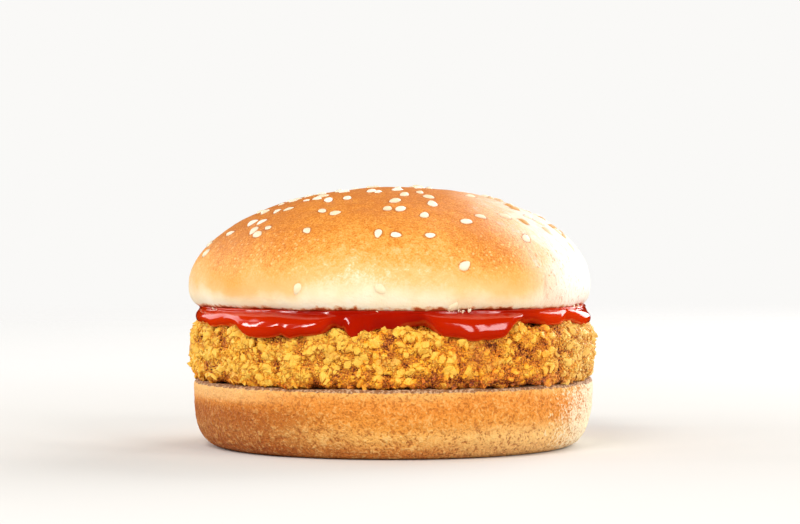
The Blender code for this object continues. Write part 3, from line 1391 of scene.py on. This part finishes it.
@dataclass
class TopBun:
    """The domed top bun: half an ellipsoid that leans a little, over a lip that curls in to the cut face.

    A share of the way down the skin is 0 at the crown, widest_share at the widest, lip_share at the lip's end
    and 1 on the cut face.
    """

    layers: Layers
    widest_share: float = 0.84
    lip_share: float = 0.92
    face_sink: float = 0.25 * MM
    rim_from: tuple[float, float] = (0.70, 0.90)
    rim_until: tuple[float, float] = (1.0, 0.94)
    radius: float = 50.3 * MM
    lip_inset: float = 2.7 * MM
    lip_height: float = 4.6 * MM
    lean: float = 2.0 * MM
    slip: float = -0.7 * MM
    fullness: float = 2.04
    crown_drop: float = 0.5 * MM
    face_radius: float = 42.0 * MM
    waves: Waves = ((2, 0.0050, 70), (3, 0.0035, 20), (5, 0.0020, -40))
    steps: int = 280

    def point(self, bearing: float, share: float) -> Vector:
        """Finds a point of the skin.

        Args:
            bearing: angle round the burger, in radians.
            share: share of the way down.

        Returns:
            The point.
        """
        base, crown = self.layers.top_bun
        base -= self.face_sink
        widest = base + self.lip_height
        rise = crown - self.crown_drop - widest
        lip_end = self.radius - self.lip_inset
        if share < self.widest_share:
            turn = math.pi / 2 * share / self.widest_share
            radius = self.radius * math.sin(turn) ** (2 / self.fullness)
            height = widest + rise * math.cos(turn) ** (2 / self.fullness)
        elif share < self.lip_share:
            turn = math.pi / 2 * (share - self.widest_share) / (self.lip_share - self.widest_share)
            radius = self.radius - self.lip_inset * (1 - math.cos(turn))
            height = widest - self.lip_height * math.sin(turn)
        else:
            inward = (share - self.lip_share) / (1 - self.lip_share)
            radius, height = lip_end + (self.face_radius - lip_end) * inward, base
        climb = max(0.0, (height - widest) / rise)
        # Towards its rim the skin is uneven, in long and in short waves.
        rim = smooth(*self.rim_from, share) * smooth(*self.rim_until, share)
        height += rim * (0.45 * MM * wander(bearing, 22, 1) + 0.25 * MM * wander(bearing, 6, 2))
        radius += rim * 0.5 * MM * wander(bearing, 14, 3)
        spot = placed(bearing, radius * (1 + bulge(bearing, self.waves)), height, self.layers.axis)
        spot.x += self.slip + self.lean * climb**2
        return spot

    def facing(self, bearing: float, share: float) -> Vector:
        """Finds the way out of the skin at a point.

        Args:
            bearing: angle round the burger, in radians.
            share: share of the way down.

        Returns:
            The direction, of unit length.
        """
        step = 0.004
        along = self.point(bearing, share + step) - self.point(bearing, share - step)
        around = self.point(bearing + step, share) - self.point(bearing - step, share)
        return along.cross(around).normalized() * -1

    def build(self) -> bpy.types.Object:
        """Makes the bun and its relief.

        Returns:
            The bun.
        """
        base, crown = self.layers.top_bun
        finish = TopCrust("top_crust", gloss=0.45, glow=0.06, axis=self.layers.axis, rim=base, crown=crown)
        piece = finished("top_bun_crust", dome_mesh("top_bun_crust", self.point, self.steps), finish)
        emboss(
            piece,
            Relief(Pattern.CLOUDS, 16 * MM, 1.2 * MM),
            Relief(Pattern.CLOUDS, 5 * MM, 0.30 * MM),
            Relief(Pattern.WRINKLES, 2.2 * MM, 0.10 * MM),
        )
        mount(piece, "top_bun")
        return piece


@dataclass(frozen=True)
class Drift:
    """One seed, or a few that landed together.

    Bearing in degrees, share of the way down the bun, how many, how far apart, and their spin in degrees if
    it is known.
    """

    bearing: float
    share: float
    count: int = 1
    spread: float = 2.6 * MM
    spin: float | None = None


@dataclass
class SesameSeeds:
    """Hulled sesame seeds: placed singly and in small drifts at the front, and strewn over the rest."""

    bun: TopBun
    length: float = 3.4 * MM
    width: float = 2.35 * MM
    thickness: float = 1.75 * MM
    closest: float = 1.6 * MM
    strewn: int = 125
    strewn_reach: float = 0.66
    strewn_power: float = 1.15
    bare_crown: float = 0.10
    drift_bearings: float = math.radians(92)
    way_down: float = 75 * MM
    seed: int = 11
    drifts: tuple[Drift, ...] = (
        Drift(-74, 0.655, spin=65),
        Drift(-80, 0.61, spin=60),
        Drift(-69, 0.54, spin=45),
        Drift(-62, 0.47, spin=50),
        Drift(-56, 0.465, spin=35),
        Drift(-53.5, 0.525, spin=20),
        Drift(-48.5, 0.55, spin=10),
        Drift(-46.5, 0.51, spin=25),
        Drift(-70, 0.395, spin=30),
        Drift(-58.5, 0.39, spin=25),
        Drift(-53, 0.375, spin=20),
        Drift(-55, 0.295, spin=15),
        Drift(-56, 0.25, 2, 1.8 * MM),
        Drift(-40, 0.285, spin=0),
        Drift(-77, 0.365, 3),
        Drift(-75, 0.31, 4),
        Drift(-71, 0.24, 4),
        Drift(-58, 0.19, 3),
        Drift(-31, 0.39, spin=10),
        Drift(-24, 0.40, spin=-20),
        Drift(-30, 0.26, spin=20),
        Drift(-29, 0.52, spin=60),
        Drift(-24, 0.17, spin=5),
        Drift(-15, 0.18, spin=0),
        Drift(-8, 0.12, 2, 2.0 * MM, spin=10),
        Drift(0, 0.29, spin=-30),
        Drift(-3, 0.36, spin=-10),
        Drift(3, 0.365, spin=10),
        Drift(6, 0.22, spin=10),
        Drift(18, 0.19, spin=15),
        Drift(18, 0.32, spin=-35),
        Drift(20, 0.25, spin=-10),
        Drift(12, 0.41, spin=-35),
        Drift(27, 0.46, spin=5),
        Drift(35, 0.425, spin=80),
        Drift(-4.5, 0.535, spin=65),
        Drift(1.5, 0.545, spin=20),
        Drift(12, 0.55, spin=-15),
        Drift(21, 0.71, spin=-20),
        Drift(56, 0.24),
        Drift(79, 0.26, 2),
        Drift(49, 0.40, 2, 1.8 * MM, spin=-40),
        Drift(66, 0.35, 3),
        Drift(54, 0.445, 2, 1.6 * MM, spin=-35),
        Drift(64, 0.45, 2, 2.0 * MM),
        Drift(47, 0.565, spin=-20),
        Drift(65, 0.51, 2, 2.0 * MM, spin=-40),
        Drift(76, 0.52, 2),
        Drift(77, 0.58, 2),
        Drift(74, 0.625),
        Drift(-2, 0.83, spin=40),
        Drift(-25.5, 0.83, spin=80),
        Drift(17.5, 0.885, spin=-30),
    )

    def shape(self, name: str, seed: int) -> bpy.types.Mesh:
        """Makes one teardrop seed, of half its length from its middle to its tip.

        Args:
            name: the mesh's name.
            seed: picks one seed out of many.

        Returns:
            The closed mesh.
        """
        chance = random.Random(seed)
        plump = chance.uniform(0.9, 1.1)
        bend = chance.uniform(-0.12, 0.12)
        grain = bmesh.new()
        bmesh.ops.create_icosphere(grain, subdivisions=2, radius=1.0)
        for vertex in grain.verts:
            # It tapers to one end, has a shallow ridge along its middle, and is a little bent and uneven.
            x, y, z = vertex.co
            taper = 1 - 0.30 * x - 0.12 * x * x
            ridge = 1 - 0.10 * math.exp(-((y / 0.25) ** 2))
            vertex.co.x = x + 0.08 * x**3
            vertex.co.y = y * taper * plump * self.width / self.length + bend * (1 - x * x)
            vertex.co.z = z * (0.85 + 0.15 * taper) * ridge * self.thickness / self.length
            vertex.co *= 1 + 0.05 * noise.noise(vertex.co * 2.3 + Vector((seed, 0, 0)))
        return as_mesh(name, grain)

    def spots(self) -> Spots:
        """Chooses where the seeds lie.

        Returns:
            Each seed's place, way up and spin.
        """
        chance = random.Random(self.seed)
        chosen: list[tuple[float, float, float]] = []
        for drift in self.drifts:
            for _ in range(drift.count):
                turn = math.pi / 2 * drift.share / self.bun.widest_share
                reach = self.bun.radius * max(0.15, math.sin(turn))
                loose = drift.spread if drift.count > 1 else 0.0
                bearing = math.radians(drift.bearing) + chance.uniform(-1, 1) * loose / reach
                share = drift.share + chance.uniform(-1, 1) * loose / self.way_down
                known = chance.uniform(0, 360) if drift.spin is None else drift.spin + chance.uniform(-12, 12)
                chosen.append((bearing, share, math.radians(known)))
        wanted = len(chosen) + self.strewn
        while len(chosen) < wanted:
            share = self.strewn_reach * math.sqrt(chance.random()) ** self.strewn_power
            bearing = chance.uniform(-math.pi, math.pi)
            # The drifts already cover what faces the viewer, down from the crown.
            if abs(bearing) >= self.drift_bearings or share <= self.bare_crown:
                chosen.append((bearing, share, chance.uniform(0, 2 * math.pi)))
        spots: Spots = []
        for bearing, share, spin in chosen:
            place = self.bun.point(bearing, share)
            if all((place - other).length > self.closest for other, _, _ in spots):
                spots.append((place, self.bun.facing(bearing, share), spin))
        return spots

    def build(self) -> bpy.types.Object:
        """Makes the seeds.

        Returns:
            All the seeds as one piece.
        """
        half = self.length / 2
        shapes = [self.shape(f"sesame_{number}", 30 + number) for number in range(6)]
        sizes = (0.90 * half, 1.08 * half)
        scatter = Scatter("sesame_seeds", Source.POINTS, sizes, sink=-0.30 * MM, tilt=0.20, seed=self.seed)
        finish = Hull("sesame_hull", roughness=0.42, gloss=0.5, glow=0.15, rim=self.bun.layers.top_bun[0])
        piece = scatter.spread(point_cloud("sesame_seeds", self.spots()), shapes, finish)
        mount(piece)
        return piece

    def store_seed_gaps(self, seeds: bpy.types.Object, crust: bpy.types.Object) -> None:
        """Stores on the crust how far each point is from the nearest seed, as "gap", for the seeds' painted
        shadows.

        Args:
            seeds: the seeds.
            crust: the bun's crust.
        """
        reach = 1.5 * MM
        tree = BVHTree.FromObject(seeds, bpy.context.evaluated_depsgraph_get())
        gaps = crust.data.attributes.new("gap", "FLOAT", "POINT")
        for index, vertex in enumerate(crust.data.vertices):
            gaps.data[index].value = tree.find_nearest(vertex.co, reach)[3] or reach


@dataclass
class BottomBun:
    """The bottom bun: a straight side over a foot that curls in to the flat base."""

    layers: Layers
    radius: float = 50.0 * MM
    rim_inset: float = 0.9 * MM
    rim_height: float = 1.5 * MM
    foot_inset: float = 7.2 * MM
    foot_height: float = 13.0 * MM
    foot_power: float = 2.25
    face_radius: float = 43.0 * MM
    side_steps: int = 6
    waves: Waves = ((2, 0.0040, 95), (3, 0.0030, -15), (4, 0.0020, 30))
    steps: int = 900

    def section(self, bearing: float) -> Section:
        """Gives the bun's outline at a bearing, from its cut face to its base.

        Args:
            bearing: angle round the burger, in radians.

        Returns:
            The outline's radii and heights.
        """
        _, top = self.layers.bottom_bun
        # The cut edge is torn, in long and in short waves.
        top += 0.15 * MM + 0.35 * MM * wander(bearing, 15, 4) + 0.15 * MM * wander(bearing, 4, 5)
        outer = self.radius * (1 + bulge(bearing, self.waves))
        inset = self.rim_inset * (1.1 + 0.8 * wander(bearing, 11, 6))
        points = [(self.face_radius, top), (0.5 * (self.face_radius + outer - inset), top)]
        rim = [(outer - inset + inset * out, top - self.rim_height * (1 - up)) for up, out in corner(8)]
        foot = [
            (outer - self.foot_inset * (1 - out), self.foot_height * (1 - down))
            for out, down in corner(44, self.foot_power)
        ]
        high, low = rim[-1][1], foot[0][1]
        side = [(outer, high + (low - high) * step / self.side_steps) for step in range(1, self.side_steps)]
        return points + rim + side + foot + [(0.8 * self.face_radius, 0.0)]

    def build(self) -> None:
        """Makes the bun and its relief."""
        axis = self.layers.axis
        mesh = ring_mesh("bottom_bun_crust", self.section, self.steps, axis)
        cut = self.layers.bottom_bun[1]
        finish = BottomCrust("bottom_crust", gloss=0.18, sheen=0.04, glow=0.05, axis=axis, cut=cut)
        piece = finished("bottom_bun_crust", mesh, finish)
        emboss(
            piece,
            Relief(Pattern.CLOUDS, 11 * MM, 1.0 * MM),
            Relief(Pattern.WRINKLES, 2.6 * MM, 0.45 * MM),
            Relief(Pattern.CLOUDS, 0.9 * MM, 0.16 * MM),
            floor=0.0,
        )
        mount(piece, "bottom_bun")


@dataclass(frozen=True)
class Lobe:
    """A stretch of ketchup that hangs lower or swells: bearing and reach in degrees, size in millimetres."""

    bearing: float
    reach: float
    size: float
    blunt: float = 1.6

    def at(self, bearing: float) -> float:
        """Gives its size at a bearing, in metres, which fades to 0 at its reach.

        Args:
            bearing: angle round the burger, in radians.

        Returns:
            The size.
        """
        away = abs(math.remainder(bearing - math.radians(self.bearing), 2 * math.pi))
        away /= math.radians(self.reach)
        return self.size * MM * (1 + math.cos(math.pi * away**self.blunt)) / 2 if away < 1 else 0.0


@dataclass
class KetchupLayer:
    """The ketchup: a bead that swells out between bun and patty, and runs down over the crumbs in tongues."""

    layers: Layers
    shoulder_radius: float = 45.2 * MM
    shoulder_inset: float = 5.2 * MM
    shoulder_height: float = 4.8 * MM
    neck: float = 42.0 * MM
    waist: float = 48.3 * MM
    lip_drop: float = 0.35 * MM
    skin: float = 0.55 * MM
    roundness: Section = field(
        default_factory=lambda: [
            (1.0, 0.22), (0.90, 0.62), (0.74, 1.00), (0.50, 1.16), (0.26, 1.04), (0.06, 0.66), (-0.03, 0.20)
        ]
    )
    tongues: tuple[Lobe, ...] = (
        Lobe(-69, 12, 0.9, 2.5),
        Lobe(-52, 14, 0.9, 2.0),
        Lobe(-37, 12.5, 3.1, 1.35),
        Lobe(-24, 8, 2.4, 2.2),
        Lobe(-6, 13, 0.8, 3.0),
        Lobe(-11, 3.2, 1.7, 1.1),
        Lobe(-7.5, 3.0, 0.7),
        Lobe(17, 8.5, 2.5),
        Lobe(27.5, 10.5, 3.4, 1.3),
        Lobe(52, 8, 0.5),
        Lobe(72, 9, 0.9),
        Lobe(107, 12, 2.8),
        Lobe(130, 10, 1.4),
        Lobe(152, 14, 3.2),
        Lobe(177, 9, 1.9),
        Lobe(203, 14, 3.1),
        Lobe(229, 11, 1.2),
        Lobe(249, 11, 2.6),
        Lobe(275, 9, 0.9),
    )
    swells: tuple[Lobe, ...] = (
        Lobe(-67, 17, 1.2, 2.5),
        Lobe(-34, 21, 1.5, 4.0),
        Lobe(24, 17, 1.6, 4.0),
        Lobe(50, 10, 0.4, 2.0),
        Lobe(71, 11, 1.2, 3.0),
        Lobe(108, 18, 1.2, 3.0),
        Lobe(152, 20, 1.3, 3.5),
        Lobe(201, 20, 1.3, 3.5),
        Lobe(247, 18, 1.1, 3.0),
    )
    patty_waves: Waves = ((2, 0.0040, 80), (3, 0.0050, 55), (7, 0.0030, 10))
    steps: int = 840

    def edge(self, bearing: float) -> float:
        """Finds the height of the ketchup's lowest edge at a bearing.

        Args:
            bearing: angle round the burger, in radians.

        Returns:
            The height.
        """
        ragged = 0.25 * MM * wander(bearing, 3.5, 8) + 0.25 * MM * wander(bearing, 9, 9)
        hang = sum(tongue.at(bearing) for tongue in self.tongues)
        return self.layers.patty[1] - self.lip_drop - hang + ragged

    def thickness(self, bearing: float) -> float:
        """Finds how thickly the ketchup lies over the patty's shoulder at a bearing.

        Args:
            bearing: angle round the burger, in radians.

        Returns:
            The thickness.
        """
        thick = self.skin + sum(swell.at(bearing) for swell in self.swells)
        return thick * (1 + 0.18 * wander(bearing, 9, 10))

    def shoulder(self, bearing: float, height: float) -> float:
        """Finds the radius of the patty's shoulder at a height.

        Args:
            bearing: angle round the burger, in radians.
            height: height over the table.

        Returns:
            The radius.
        """
        gain = 1 + bulge(bearing, self.patty_waves)
        down = min(1.0, max(0.0, (self.layers.patty[1] - height) / self.shoulder_height))
        return (self.shoulder_radius + self.shoulder_inset * math.sqrt(1 - (1 - down) ** 2)) * gain

    def section(self, bearing: float) -> Section:
        """Gives the ketchup's outline at a bearing, from its neck on top, outside, to its neck underneath.

        Args:
            bearing: angle round the burger, in radians.

        Returns:
            The outline's radii and heights.
        """
        patty_top = self.layers.patty[1]
        foot = self.edge(bearing)
        fat = self.thickness(bearing)
        top = self.layers.top_bun[0] + 0.2 * MM
        crease = top - (1.05 + 0.5 * wander(bearing, 20, 12)) * MM
        fold = (0.10 + 0.5 * wander(bearing, 16, 11)) * MM
        upper = self.waist + 0.3 * MM * wander(bearing, 8, 13)
        on_patty = self.shoulder(bearing, foot)
        belly = []
        for share, swell in self.roundness:
            back = (on_patty - 0.2 * MM) * (1 - share) + (upper + 0.1 * MM) * share
            belly.append((back + swell * fat, foot + share * (crease - foot)))
        # Out from the neck, over the fold under the bun, down the belly to its edge, and back on the patty.
        points = [
            (self.neck, top),
            (46.2 * MM, top),
            (upper - 0.5 * MM, top - 0.03 * MM),
            (upper + 0.2 * MM + fold, top - 0.40 * MM),
            (upper + 0.2 * MM + fold, top - 0.85 * MM),
            *belly,
            (on_patty - 0.60 * MM, foot + 0.1 * MM),
            (self.shoulder(bearing, patty_top - 0.3 * MM) - 0.6 * MM, patty_top),
            (self.neck, patty_top),
        ]
        return [
            (radius + self.ripple(bearing, height) * smooth(46 * MM, 48 * MM, radius), height)
            for radius, height in curve_through(points, 5)
        ]

    @staticmethod
    def ripple(bearing: float, height: float) -> float:
        """Finds how far the sauce's surface swells out at a place."""
        slow = 0.10 * MM * wander(bearing, 8, 14, height / (3.4 * MM))
        return slow + 0.02 * MM * wander(bearing, 2.2, 15, height / (1.6 * MM))

    def build(self) -> None:
        """Makes the ketchup."""
        mesh = ring_mesh("ketchup_layer", self.section, self.steps, self.layers.axis)
        finish = Sauce("ketchup_gloss", gloss=0.8, glow=0.05, glow_reach=(1.0 * MM, 0.1 * MM, 0.05 * MM))
        mount(finished("ketchup_layer", mesh, finish), "ketchup")


@dataclass
class Patty:
    """The crumbed patty: a lumpy disc, coated with coarse flakes, middling crumbs and fine grains."""

    layers: Layers
    ketchup: KetchupLayer
    radius: float = 50.4 * MM
    under_crumbs: float = 0.991
    foot_inset: float = 3.6 * MM
    foot_height: float = 3.4 * MM
    face_radius: float = 43.0 * MM
    steps: int = 900
    side_steps: int = 26
    core: bpy.types.Object | None = field(default=None, init=False)

    def section(self, bearing: float) -> Section:
        """Gives the patty's outline at a bearing, from its top face to its base.

        Args:
            bearing: angle round the burger, in radians.

        Returns:
            The outline's radii and heights.
        """
        low, top = self.layers.patty
        low -= 0.1 * MM
        gain = self.ketchup.shoulder(bearing, low) / self.radius * self.under_crumbs
        inner, inset = self.ketchup.shoulder_radius, self.ketchup.shoulder_inset
        points = [(self.face_radius, top)]
        points += [
            ((inner + inset * out) * gain, top - self.ketchup.shoulder_height * (1 - up))
            for up, out in corner(22)
        ]
        high_side, low_side = points[-1][1], low + self.foot_height
        points += [
            (self.radius * gain, high_side + (low_side - high_side) * step / self.side_steps)
            for step in range(1, self.side_steps)
        ]
        points += [
            ((self.radius - self.foot_inset * (1 - out)) * gain, low + self.foot_height * (1 - down))
            for out, down in corner(16)
        ]
        return points + [(self.face_radius, low)]

    def build(self) -> None:
        """Makes the patty under its crumbs."""
        mesh = ring_mesh("patty_core", self.section, self.steps, self.layers.axis)
        self.core = finished("patty_core", mesh, Crevices("patty_crevices", gloss=0.4))
        emboss(
            self.core,
            Relief(Pattern.CLOUDS, 8 * MM, 1.8 * MM),
            Relief(Pattern.LUMPS, 3.4 * MM, 1.7 * MM),
            Relief(Pattern.LUMPS, 1.4 * MM, 0.7 * MM),
        )
        mount(self.core, "patty")

    def surface(self, name: str, share: Callable[[float, float], float]) -> bpy.types.Mesh:
        """Copies the patty's skin and marks where a kind of crumb goes.

        Args:
            name: the copy's name.
            share: gives how much of this kind there is at a bearing and a height of the relief, from 0 to 1.

        Returns:
            The copy, with the attribute "cover".
        """
        mesh = self.core.data.copy()
        mesh.name = name
        cover = mesh.attributes.new("cover", "FLOAT", "POINT")
        relief = mesh.attributes["relief"]
        low = self.layers.patty[0]
        axis = self.layers.axis
        for index, vertex in enumerate(mesh.vertices):
            reach = (vertex.co - axis).xy.length
            bearing = math.atan2(vertex.co.x - axis.x, axis.y - vertex.co.y)
            over = vertex.co.z - self.ketchup.edge(bearing)
            # Crumbs go in a little way under the sauce, further where it lies thickly.
            thin = smooth(1.2 * MM, 0.7 * MM, self.ketchup.thickness(bearing))
            bare = smooth((0.9 + 0.8 * thin) * MM, (0.2 + 0.6 * thin) * MM, over)
            bare *= smooth(44 * MM, 47 * MM, reach) * smooth(low + 0.1 * MM, low + 0.6 * MM, vertex.co.z)
            cover.data[index].value = bare * share(bearing, relief.data[index].value - 0.5)
        return mesh


@dataclass
class Crumbs:
    """The patty's breadcrumbs, in three sizes. They are coarser to the viewer's left than to the right.

    The spans of relief over which flakes and lumps fade in leave the hollows between them darker.
    """

    patty: Patty
    flake_span: tuple[float, float] = (-0.085, 0.0)
    lump_span: tuple[float, float] = (-0.13, -0.06)
    variety: int = 16
    sharp_edge: float = math.radians(36)

    def coarse(self, bearing: float, hill: float) -> float:
        """Gives the share of coarse flakes, which cling to the hills of the relief."""
        share = min(1.0, max(0.35, 0.85 - 0.30 * math.sin(bearing) + 0.6 * wander(bearing, 9, 20)))
        return share * (0.12 + 0.88 * smooth(*self.flake_span, hill))

    def middling(self, bearing: float, hill: float) -> float:
        """Gives the share of middling lumps, which leave the deepest hollows free."""
        return 0.9 * (0.15 + 0.85 * smooth(*self.lump_span, hill))

    def build(self) -> None:
        """Makes the three kinds, one piece each."""
        foot = self.patty.layers.patty[0]
        kinds = (
            (
                Scatter(
                    "crumb_flakes", Source.FACES, (0.70 * MM, 2.05 * MM), 0.05 * MM, 0.84 * MM, 2.6e6, 0.7,
                    wear=1.0 * MM, wear_size=0.9 * MM, measured=True, seed=21,
                ),
                Nugget(corners=15, chip=0.50, squash=(1.0, 0.72, 0.48)),
                self.coarse,
                Breading("flake_gold", gloss=0.5, sheen=0.02, glow=0.02, shift=0.10, foot=foot),
            ),
            (
                Scatter(
                    "crumb_lumps", Source.FACES, (0.35 * MM, 0.90 * MM), 0.05 * MM, 0.68 * MM, 3.2e6, 0.9,
                    wear=0.5 * MM, wear_size=0.6 * MM, measured=True, seed=22,
                ),
                Nugget(corners=12, chip=0.50, squash=(1.0, 0.75, 0.60)),
                self.middling,
                Breading("lump_gold", gloss=0.5, sheen=0.02, glow=0.02, shift=0.07, foot=foot),
            ),
            (
                Scatter(
                    "crumb_grains", Source.FACES, (0.22 * MM, 0.50 * MM), -0.10 * MM, 0.52 * MM, 6e6, 1.0,
                    wear=0.2 * MM, wear_size=0.4 * MM, measured=True, seed=23,
                ),
                Nugget(corners=9, chip=0.6, squash=(1.0, 0.80, 0.7)),
                lambda bearing, hill: 1.0,
                Breading("grain_gold", gloss=0.35, sheen=0.06, shift=0.06, foot=foot),
            ),
        )
        for scatter, nugget, share, finish in kinds:
            shapes = [nugget.mesh(f"{scatter.name}_{number}", 100 + number) for number in range(self.variety)]
            piece = scatter.spread(self.patty.surface(scatter.name, share), shapes, finish)
            piece.data.set_sharp_from_angle(angle=self.sharp_edge)
            mount(piece)


@dataclass
class TornCrumbs:
    """White crumbs torn from the top bun's cut edge, hanging into the ketchup."""

    bun: TopBun
    tufts: tuple[tuple[float, int], ...] = (
        (20, 9), (22, 7), (17, 4), (-4, 3), (-60, 3), (66, 6), (70, 5), (160, 8), (230, 7)
    )
    variety: int = 8
    seed: int = 41

    def build(self) -> None:
        """Makes the crumbs: each tuft has its middle's bearing in degrees and how many crumbs it holds."""
        chance = random.Random(self.seed)
        spots = []
        for middle, count in self.tufts:
            for _ in range(count):
                bearing = math.radians(middle + chance.gauss(0, 1.3))
                share = chance.uniform(0.905, 0.93)
                place = self.bun.point(bearing, share) + Vector((0, 0, chance.uniform(-0.9, 0.1) * MM))
                outward = Vector((math.sin(bearing), -math.cos(bearing), 0))
                spots.append((place + outward * chance.uniform(0.2, 1.2) * MM, outward, chance.uniform(0, 6)))
        nugget = Nugget(corners=22, chip=0.35, squash=(1.0, 0.6, 0.5))
        shapes = [nugget.mesh(f"torn_{number}", 60 + number) for number in range(self.variety)]
        sizes = (0.35 * MM, 1.00 * MM)
        scatter = Scatter(
            "torn_crumbs", Source.POINTS, sizes, tilt=0.8, wear=0.9 * MM, wear_size=0.7 * MM, seed=5
        )
        finish = TornBread("torn_bread", roughness=0.8, gloss=0.3, glow=0.1)
        mount(scatter.spread(point_cloud("torn_crumbs", spots), shapes, finish))


# ---------------------------------------------------------------- studio


@dataclass(frozen=True)
class Softbox:
    """A rectangular light that faces the burger.

    Bearing and elevation in degrees, distance, size and power, and whether glossy surfaces mirror it.
    """

    name: str
    bearing: float
    elevation: float
    distance: float
    width: float
    height: float
    power: float
    mirrored: bool = True

    def build(self, target: Vector) -> None:
        """Hangs the light.

        Args:
            target: what it is turned to.
        """
        light = bpy.data.lights.new(self.name, "AREA")
        light.shape = "RECTANGLE"
        light.size, light.size_y = self.width, self.height
        light.energy = self.power
        lamp = linked(self.name, light)
        tip = math.radians(self.elevation)
        reach, height = self.distance * math.cos(tip), self.distance * math.sin(tip)
        away = placed(math.radians(self.bearing), reach, height, Vector())
        lamp.location = target + away
        lamp.rotation_euler = away.to_track_quat("Z", "Y").to_euler()
        lamp.visible_camera = False
        lamp.visible_glossy = self.mirrored


@dataclass
class Studio:
    """Pale floor, pale backdrop all round, soft lights and the camera."""

    layers: Layers
    view_distance: float = 650 * MM
    eye_height: float = 57.3 * MM
    aim_height: float = 45.8 * MM
    eye_shift: float = 2.3 * MM
    lens: float = 116.0
    nearest: float = 50 * MM
    ambient: float = 0.26
    mirrored: float = 0.0
    floor_radius: float = 1.4
    backdrop_radius: float = 6.0
    backdrop_colour: Colour = (250, 249, 247)
    lights: tuple[Softbox, ...] = (
        Softbox("key", -24, 44, 1.6, 0.6, 0.5, 10.8, mirrored=False),
        Softbox("strip_near", 34, 22, 1.5, 0.34, 1.0, 6.0),
        Softbox("strip_far", 61, 22, 1.5, 0.34, 1.0, 6.0),
        Softbox("rim", 108, 20, 1.5, 0.9, 1.0, 8.0, mirrored=False),
        Softbox("glare", 142, 26, 1.5, 1.0, 1.2, 18.0),
        Softbox("rim_left", -124, 24, 1.5, 1.1, 0.9, 6.5),
        Softbox("glint_left", -88, 25, 1.5, 0.12, 0.6, 3.1),
        Softbox("glint_middle", -63, 25, 1.5, 0.12, 0.6, 3.1),
        Softbox("glint_right", -43, 25, 1.5, 0.12, 0.6, 3.1),
    )

    def build(self) -> None:
        """Sets up the stage, the lights, the world and the camera."""
        target = Vector((0, 0, self.aim_height))
        self.floor()
        self.backdrop()
        for light in self.lights:
            light.build(target)
        self.surroundings()
        camera = linked("camera", bpy.data.cameras.new("camera"))
        camera.data.lens = self.lens
        camera.data.clip_start = self.nearest
        camera.location = (self.eye_shift, -self.view_distance, self.eye_height)
        aim = Vector((self.eye_shift, 0, self.aim_height)) - camera.location
        camera.rotation_euler = aim.to_track_quat("-Z", "Y").to_euler()
        bpy.context.scene.camera = camera
        bpy.context.scene.view_settings.view_transform = "Standard"

    def surroundings(self) -> None:
        """Fills the shadows from all round, and leaves wet surfaces little to mirror but the softboxes."""
        world = bpy.data.worlds.new("ambient")
        world.use_nodes = True
        graph = Graph(world.node_tree)
        sky = world.node_tree.nodes["Background"]
        sky.inputs["Color"].default_value = (1.0, 1.0, 1.0, 1.0)
        mirror = graph.node("ShaderNodeLightPath")["Is Glossy Ray"]
        graph.plug(sky.inputs["Strength"], self.ambient - (self.ambient - self.mirrored) * mirror)
        bpy.context.scene.world = world

    def floor(self) -> None:
        """Lays the floor, which fades into the backdrop."""
        disc = bmesh.new()
        bmesh.ops.create_circle(disc, cap_ends=True, segments=96, radius=self.floor_radius)
        finish = StudioFloor("studio_floor", roughness=0.9, gloss=0.0)
        piece = finished("floor", as_mesh("floor", disc), finish)
        piece.visible_glossy = False

    def backdrop(self) -> None:
        """Puts a pale sphere round everything, which only the camera sees."""
        ball = bmesh.new()
        bmesh.ops.create_uvsphere(ball, u_segments=48, v_segments=24, radius=self.backdrop_radius)
        bmesh.ops.reverse_faces(ball, faces=ball.faces)
        constants = {
            "Base Color": (0.0, 0.0, 0.0, 1.0),
            "Specular IOR Level": 0.0,
            "Emission Color": (*shade(self.backdrop_colour), 1.0),
            "Emission Strength": 1.0,
        }
        piece = linked("backdrop", as_mesh("backdrop", ball))
        piece.data.materials.append(plain_material("backdrop", constants)[0])
        for rays in ("diffuse", "glossy", "transmission", "volume_scatter", "shadow"):
            setattr(piece, "visible_" + rays, False)


def main() -> None:
    """Builds the burger's looks round its solids."""
    logging.basicConfig(level=logging.INFO, format="%(message)s")
    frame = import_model()
    layers = Layers.of_frame(frame["nodes"])
    Studio(layers).build()
    BottomBun(layers).build()
    ketchup = KetchupLayer(layers)
    patty = Patty(layers, ketchup)
    patty.build()
    Crumbs(patty).build()
    ketchup.build()
    top_bun = TopBun(layers)
    crust = top_bun.build()
    sesame = SesameSeeds(top_bun)
    sesame.store_seed_gaps(sesame.build(), crust)
    TornCrumbs(top_bun).build()


if __name__ == "__main__":
    main()
